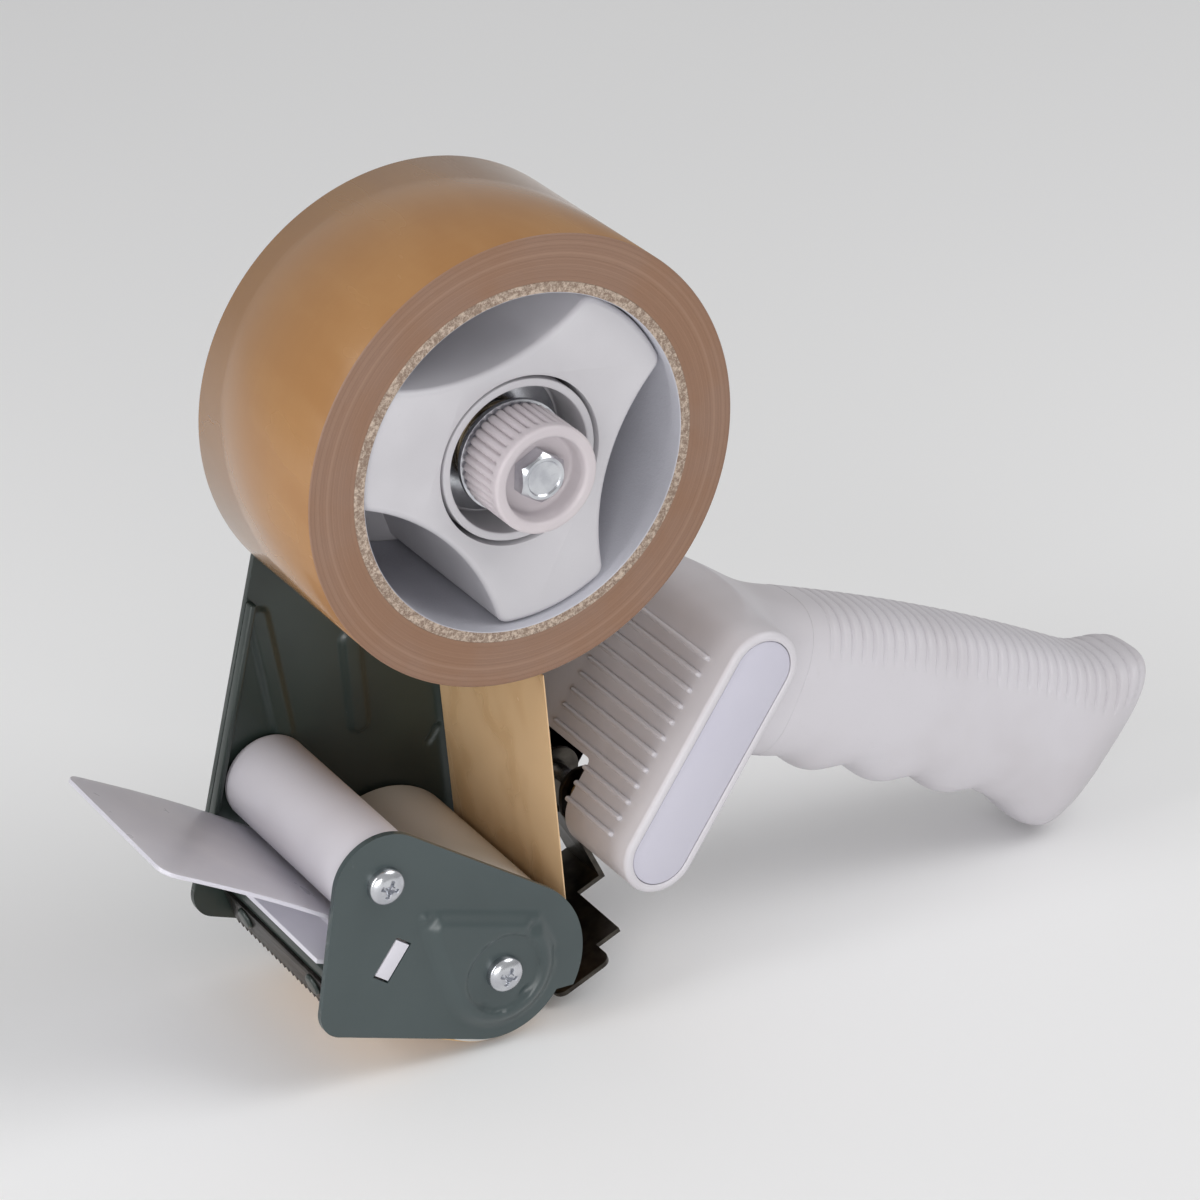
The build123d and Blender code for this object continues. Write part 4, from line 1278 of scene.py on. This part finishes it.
def frame_height(places):
    """How far the frame's beads stand in towards the open side."""
    swell = np.zeros(len(places))
    for low, high in bead_lines:
        low, high = hub_at + np.array(low), hub_at + np.array(high)
        line = high - low
        share = np.clip((places - low) @ line / (line @ line), 0, 1)
        away = np.linalg.norm(places - low - share[:, None] * line, axis=1)
        swell = np.maximum(swell, bead_height * soft_step((bead_half + bead_shoulder - away) / bead_shoulder))
    line = frame_slot_half * heading(wiper_bar_angle)
    share = np.clip((places - frame_slot_at) @ line / (line @ line), -1, 1)
    away = np.linalg.norm(places - frame_slot_at - share[:, None] * line, axis=1)
    return swell - frame_slot_depth * soft_step((1.1 - away) / 0.5)


def far_plate():
    """The frame plate with its beads, holes and turned-in lip."""
    low, high = reach_of("frame_side_plate")
    sheet = pressed_sheet("far_plate", low[[0, 2]], high[[0, 2]], plate_inner, -1, frame_height)
    span = (plate_inner - 3, plate_outer + 3)
    carved(sheet, prism("frame_outline", hull_outline(frame_circles), *span), "INTERSECT")
    carved(sheet, prism("tab_slot", turned_box(wiper_bar_at, wiper_bar_angle, slot_size), *span))
    lip = prism("frame_lip", hull_outline(frame_circles), plate_inner - lip_depth, plate_inner + 0.05)
    inner = hull_outline([(x, z, radius - lip_width) for x, z, radius in frame_circles])
    carved(lip, prism("lip_inside", inner, plate_inner - 2 * lip_depth, plate_outer))
    middle = np.array([frame_corner[0], (lip_low + lip_high) / 2])
    band = turned_box(middle, 0, (lip_reach, lip_high - lip_low))
    carved(lip, prism("lip_band", band, plate_inner - 2 * lip_depth, plate_outer), "INTERSECT")
    print("front lip", lip_high - lip_low, "mm tall")
    bevelled(lip, 0.4, 3)
    settle(lip, frame_paint, "frame", "frame_paint", "frame_side_plate", sharp=50)
    return bevelled(sheet, 0.22, 2, 50)


settle(far_plate(), frame_paint, "frame", "frame_paint", "frame_side_plate", sharp=50)

# %% [markdown]
# A pan head screw is a dome with a cross recess. The head is a fine polar grid whose
# heights come from one formula, and each pair on an axle is one row of two copies.
# The hub's bolt is a plain hexagon with its corners dressed off by a cone and a
# shallow dish in its face, with no marking.

# %% Screws and bolt
pan_radius, pan_height, pan_rim = 4.3, 2.8, 0.9
wing_half, wing_reach, recess_deep = 0.52, 2.25, 1.5


def pan_head(side, turn):
    """A pan head about the y axis whose seat is at y = 0 and whose face looks to side."""
    steps = 96
    radii = np.concatenate([np.linspace(0.05, 2.6, 40), np.linspace(2.75, pan_radius, 14)])
    turns = np.linspace(0, 2 * math.pi, steps, endpoint=False)
    radius, angle = np.meshgrid(radii, turns, indexing="ij")
    dome = pan_rim + (pan_height - pan_rim) * np.sqrt(np.clip(1 - (radius / pan_radius) ** 2.6, 0, 1))
    u = np.abs(radius * np.cos(angle + turn))
    v = np.abs(radius * np.sin(angle + turn))
    near_axis, along_wing = np.minimum(u, v), np.maximum(u, v)
    wings = soft_step((wing_half - near_axis) / 0.16) * soft_step((wing_reach - along_wing) / 0.3)
    core_pit = soft_step((1.15 - radius) / 0.3)
    depth = recess_deep * np.maximum(wings * (1 - 0.5 * along_wing / wing_reach), core_pit)
    y = side * (dome - depth)
    points = np.stack([radius * np.cos(angle), y, radius * np.sin(angle)], -1).reshape(-1, 3)
    rim = [(pan_radius * math.cos(t), 0, pan_radius * math.sin(t)) for t in turns]
    points = np.concatenate([points, rim, [(0, points[0][1], 0)], [(0, 0, 0)]])
    rings_made = len(radii) + 1
    faces = ring_faces(rings_made, steps, closed=False)
    centre, seat, last = rings_made * steps, rings_made * steps + 1, (rings_made - 1) * steps
    faces += [(centre, j, (j + 1) % steps) for j in range(steps)]
    faces += [(seat, last + j, last + (j + 1) % steps) for j in range(steps)]
    return closed_piece("pan_head", points, faces)


def screw_pair(name, node, first, last, seats, side, turn):
    """Two pan heads, one at each place, on y = seats."""
    step = last - first
    row = row_of(name, pan_head(side, turn), 2, (first[0], seats[0], first[1]),
                 (step[0], seats[1] - seats[0], step[1]), zinc)
    return settle(row, zinc, "frame", "zinc_steel", node, sharp=60)


screw_pair("cheek_screws", "near_axle_screws", guide_roller_at, big_roller_at,
           (-plate_outer, -plate_outer - pad_height + dish_depth), -1, 0.35)
screw_pair("frame_screws", "far_axle_screws", guide_roller_at, big_roller_at,
           (plate_outer, plate_outer), 1, 0.6)
handle_screw_shares = (0.42, 0.86)
handle_screw_at = [block_low + share * block_line for share in handle_screw_shares]
screw_pair("block_screws", "handle_screws", *handle_screw_at, (plate_outer, plate_outer), 1, 0.1)

head_flats, head_under, head_face = 10.0, -29.0, -33.0
head_face_radius, head_dish_radius, head_dish = 4.7, 3.7, 0.35


def hex_bolt():
    """The hexagon head with dressed corners and a shallow dish, and its shank."""
    steps = 144
    turns = np.linspace(0, 2 * math.pi, steps, endpoint=False)
    to_flat = (turns + math.pi / 6) % (math.pi / 3) - math.pi / 6
    hexagon = head_flats / 2 / np.cos(to_flat)
    cone = 0.35 + 0.75 * (hexagon - head_flats / 2)
    shank = 3.0
    far = reach_of("spindle_bolt")[1][1]
    levels = [(0 * turns, far + 0 * turns), (shank - 0.5 + 0 * turns, far + 0 * turns),
              (shank + 0 * turns, far - 0.5 + 0 * turns), (shank + 0 * turns, head_under + 0 * turns),
              (hexagon - 0.15, head_under + 0 * turns), (hexagon, head_under - 0.15 + 0 * turns),
              (hexagon, head_face + cone), (head_face_radius + 0 * turns, head_face + 0 * turns),
              (head_dish_radius + 0.35 + 0 * turns, head_face + 0 * turns),
              (head_dish_radius + 0 * turns, head_face + head_dish + 0 * turns),
              (0 * turns, head_face + head_dish + 0 * turns)]
    points = []
    for radius, y in levels:
        points += [(hub_at[0] + r * math.cos(t), h, hub_at[1] + r * math.sin(t))
                   for r, h, t in zip(radius, y, turns)]
    return closed_piece("hex_bolt", points, ring_faces(len(levels), steps, closed=False))


settle(hex_bolt(), zinc, "knob", "zinc_steel", "spindle_bolt", sharp=28)

# %% [markdown]
# The rollers are plain tubes with a soft edge. The big one runs on two moulded plugs,
# which close its ends with a dish.

# %% Rollers
def tube_profile(outer, inner, near, far):
    """The section of a tube."""
    return [(outer, near), (outer, far), (inner, far), (inner, near)]


def roller(name, node, at, inner, material, body):
    """A tube roller that stands for its node, with soft edges."""
    low, high = reach_of(node)
    outer = (high[0] - low[0]) / 2
    piece = spun(name, at, softened(tube_profile(outer, inner, low[1], high[1]), 0.7, 5), 192)
    return settle(piece, material, body, "roller_plastic", node, sharp=40)


roller("big_roller", "application_roller", big_roller_at, 15.72, roller_plastic, "application_roller")
roller("small_roller", "guide_roller", guide_roller_at, 4.06, guide_plastic, "guide_roller")
dressed("roller_end_plugs", roller_plastic, 0.3, "application_roller", "roller_plastic")

# %% [markdown]
# The wiper leaf is a thin milky sheet with two round corners at its free end and a
# faint curl, so it is a grid of points with a thickness. The web is the solid's own
# strip, cut off just behind the blade's teeth, where tape tears.

# %% Wiper leaf and web
leaf_corner = 3.5
leaf_thickness = 0.9
leaf_curl = 0.9
leaf_low, leaf_high = reach_of("wiper_flap")
leaf_tip = np.array([leaf_low[0] + 0.3, leaf_high[2] - 0.45])
leaf_line = flap_hinge - leaf_tip
leaf_length = np.linalg.norm(leaf_line)


def leaf():
    """The leaf from its free end to the bead on its hinge."""
    along_it = leaf_line / leaf_length
    off_it = np.array([-along_it[1], along_it[0]])
    ease = np.linspace(0, math.pi / 2, 14)
    stations = np.concatenate([leaf_corner * (1 - np.cos(ease)), np.linspace(leaf_corner, leaf_length, 40)[1:]])
    half = (leaf_high[1] - leaf_low[1]) / 2
    cut = leaf_corner - np.sqrt(np.clip(leaf_corner ** 2 - (leaf_corner - np.minimum(stations, leaf_corner)) ** 2, 0, None))
    widths = np.linspace(-1, 1, 25)
    sides = []
    for face in (1, -1):
        lift = leaf_curl * np.sin(math.pi * stations / leaf_length) + face * leaf_thickness / 2
        place = leaf_tip + stations[:, None] * along_it + lift[:, None] * off_it
        sides += [(x, width * (half - narrow), z) for (x, z), narrow in zip(place, cut) for width in widths]
    rows_made, columns = len(stations), len(widths)
    count = rows_made * columns
    cells = [(i * columns + j, (i + 1) * columns + j, (i + 1) * columns + j + 1, i * columns + j + 1)
             for i in range(rows_made - 1) for j in range(columns - 1)]
    rim = [i * columns for i in range(rows_made)] + [(rows_made - 1) * columns + j for j in range(1, columns)]
    rim += [i * columns + columns - 1 for i in range(rows_made - 2, -1, -1)] + list(range(columns - 2, 0, -1))
    faces = cells + [tuple(count + k for k in reversed(cell)) for cell in cells]
    faces += [(a, b, count + b, count + a) for a, b in zip(rim, rim[1:] + rim[:1])]
    return bevelled(closed_piece("wiper_leaf", sides, faces), 0.22, 2, 50)


settle(leaf(), wiper_plastic, "wiper_flap", "wiper_plastic", "wiper_flap", sharp=40)
bead = spun("leaf_bead", flap_hinge, softened(
    [(0.02, leaf_low[1]), (0.9, leaf_low[1]), (0.9, leaf_high[1]), (0.02, leaf_high[1])], 0.2), 32)
settle(bead, wiper_plastic, "wiper_flap", "wiper_plastic", "wiper_flap")
web_cut_at = hub_at + np.array([-40.4, -124.2])
web_low, web_high = reach_of("tape_web")
web = dressed("tape_web", web_material, 0, "frame", "tape_film")
carved(web, prism("beyond_teeth", turned_box(web_cut_at - np.array([10.0, 0.0]), 0, (20.0, 30.0)),
                  web_low[1] - 1, web_high[1] + 1))
print("leaf", leaf_length, "mm long, web cut at", web_cut_at)

# %% [markdown]
# Both springs are wound by the coil tree. The sheet metal and the small turned parts
# already have their true forms, so merged copies with softened edges carry their
# finishes.

# %% Springs and small parts
spring_air = 0.1
spring_low, spring_high = reach_of("brake_spring")
drag_spring = coil_of("drag_spring", hub_at, 9.4, 1.5, 3.0, spring_low[1], spring_high[1], spring_wire)
settle(drag_spring, spring_wire, "frame", "spring_steel", "brake_spring", sharp=60)
knob_travel = max(joint["range_m"][1] for joint in frame["record"]["behaviour"]["joints"]
                  if joint["name"] == "knob_advance") * 1000
spring_length = spring_high[1] - spring_low[1]
(spring_length - knob_travel - spring_air) / spring_length
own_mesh(drag_spring)
print("drag spring", spring_length, "mm long, pressed by", knob_travel)
spring_low, spring_high = reach_of("lever_spring")
settle(coil_of("return_spring", lever_pivot, 3.4, 0.9, 6.0, spring_low[1], spring_high[1], spring_wire),
       spring_wire, "frame", "spring_steel", "lever_spring", sharp=60)
dressed("blade_carrier", frame_paint, 0.2, "frame", "frame_paint")
dressed("cutting_blade", blade_steel, 0.06, "frame", "blade_steel")
dressed("blade_rivets", frame_paint, 0.15, "frame", "zinc_steel")
dressed("wiper_bar", wiper_plastic, 0.25, "frame", "wiper_plastic")
# The lever's dark tint is a painted reflection, not the steel's own colour.
dressed("backstop_lever", lever_steel, 0.18, "backstop_lever", "lever_steel")
for node in ("roller_axle", "guide_roller_axle", "spindle_sleeve", "friction_washer",
             "spindle_nut", "lever_pin", "lever_pin_clip"):
    dressed(node, zinc, 0.15, "frame", "zinc_steel")
dressed("thrust_washer", zinc, 0.15, "brake_follower", "zinc_steel")
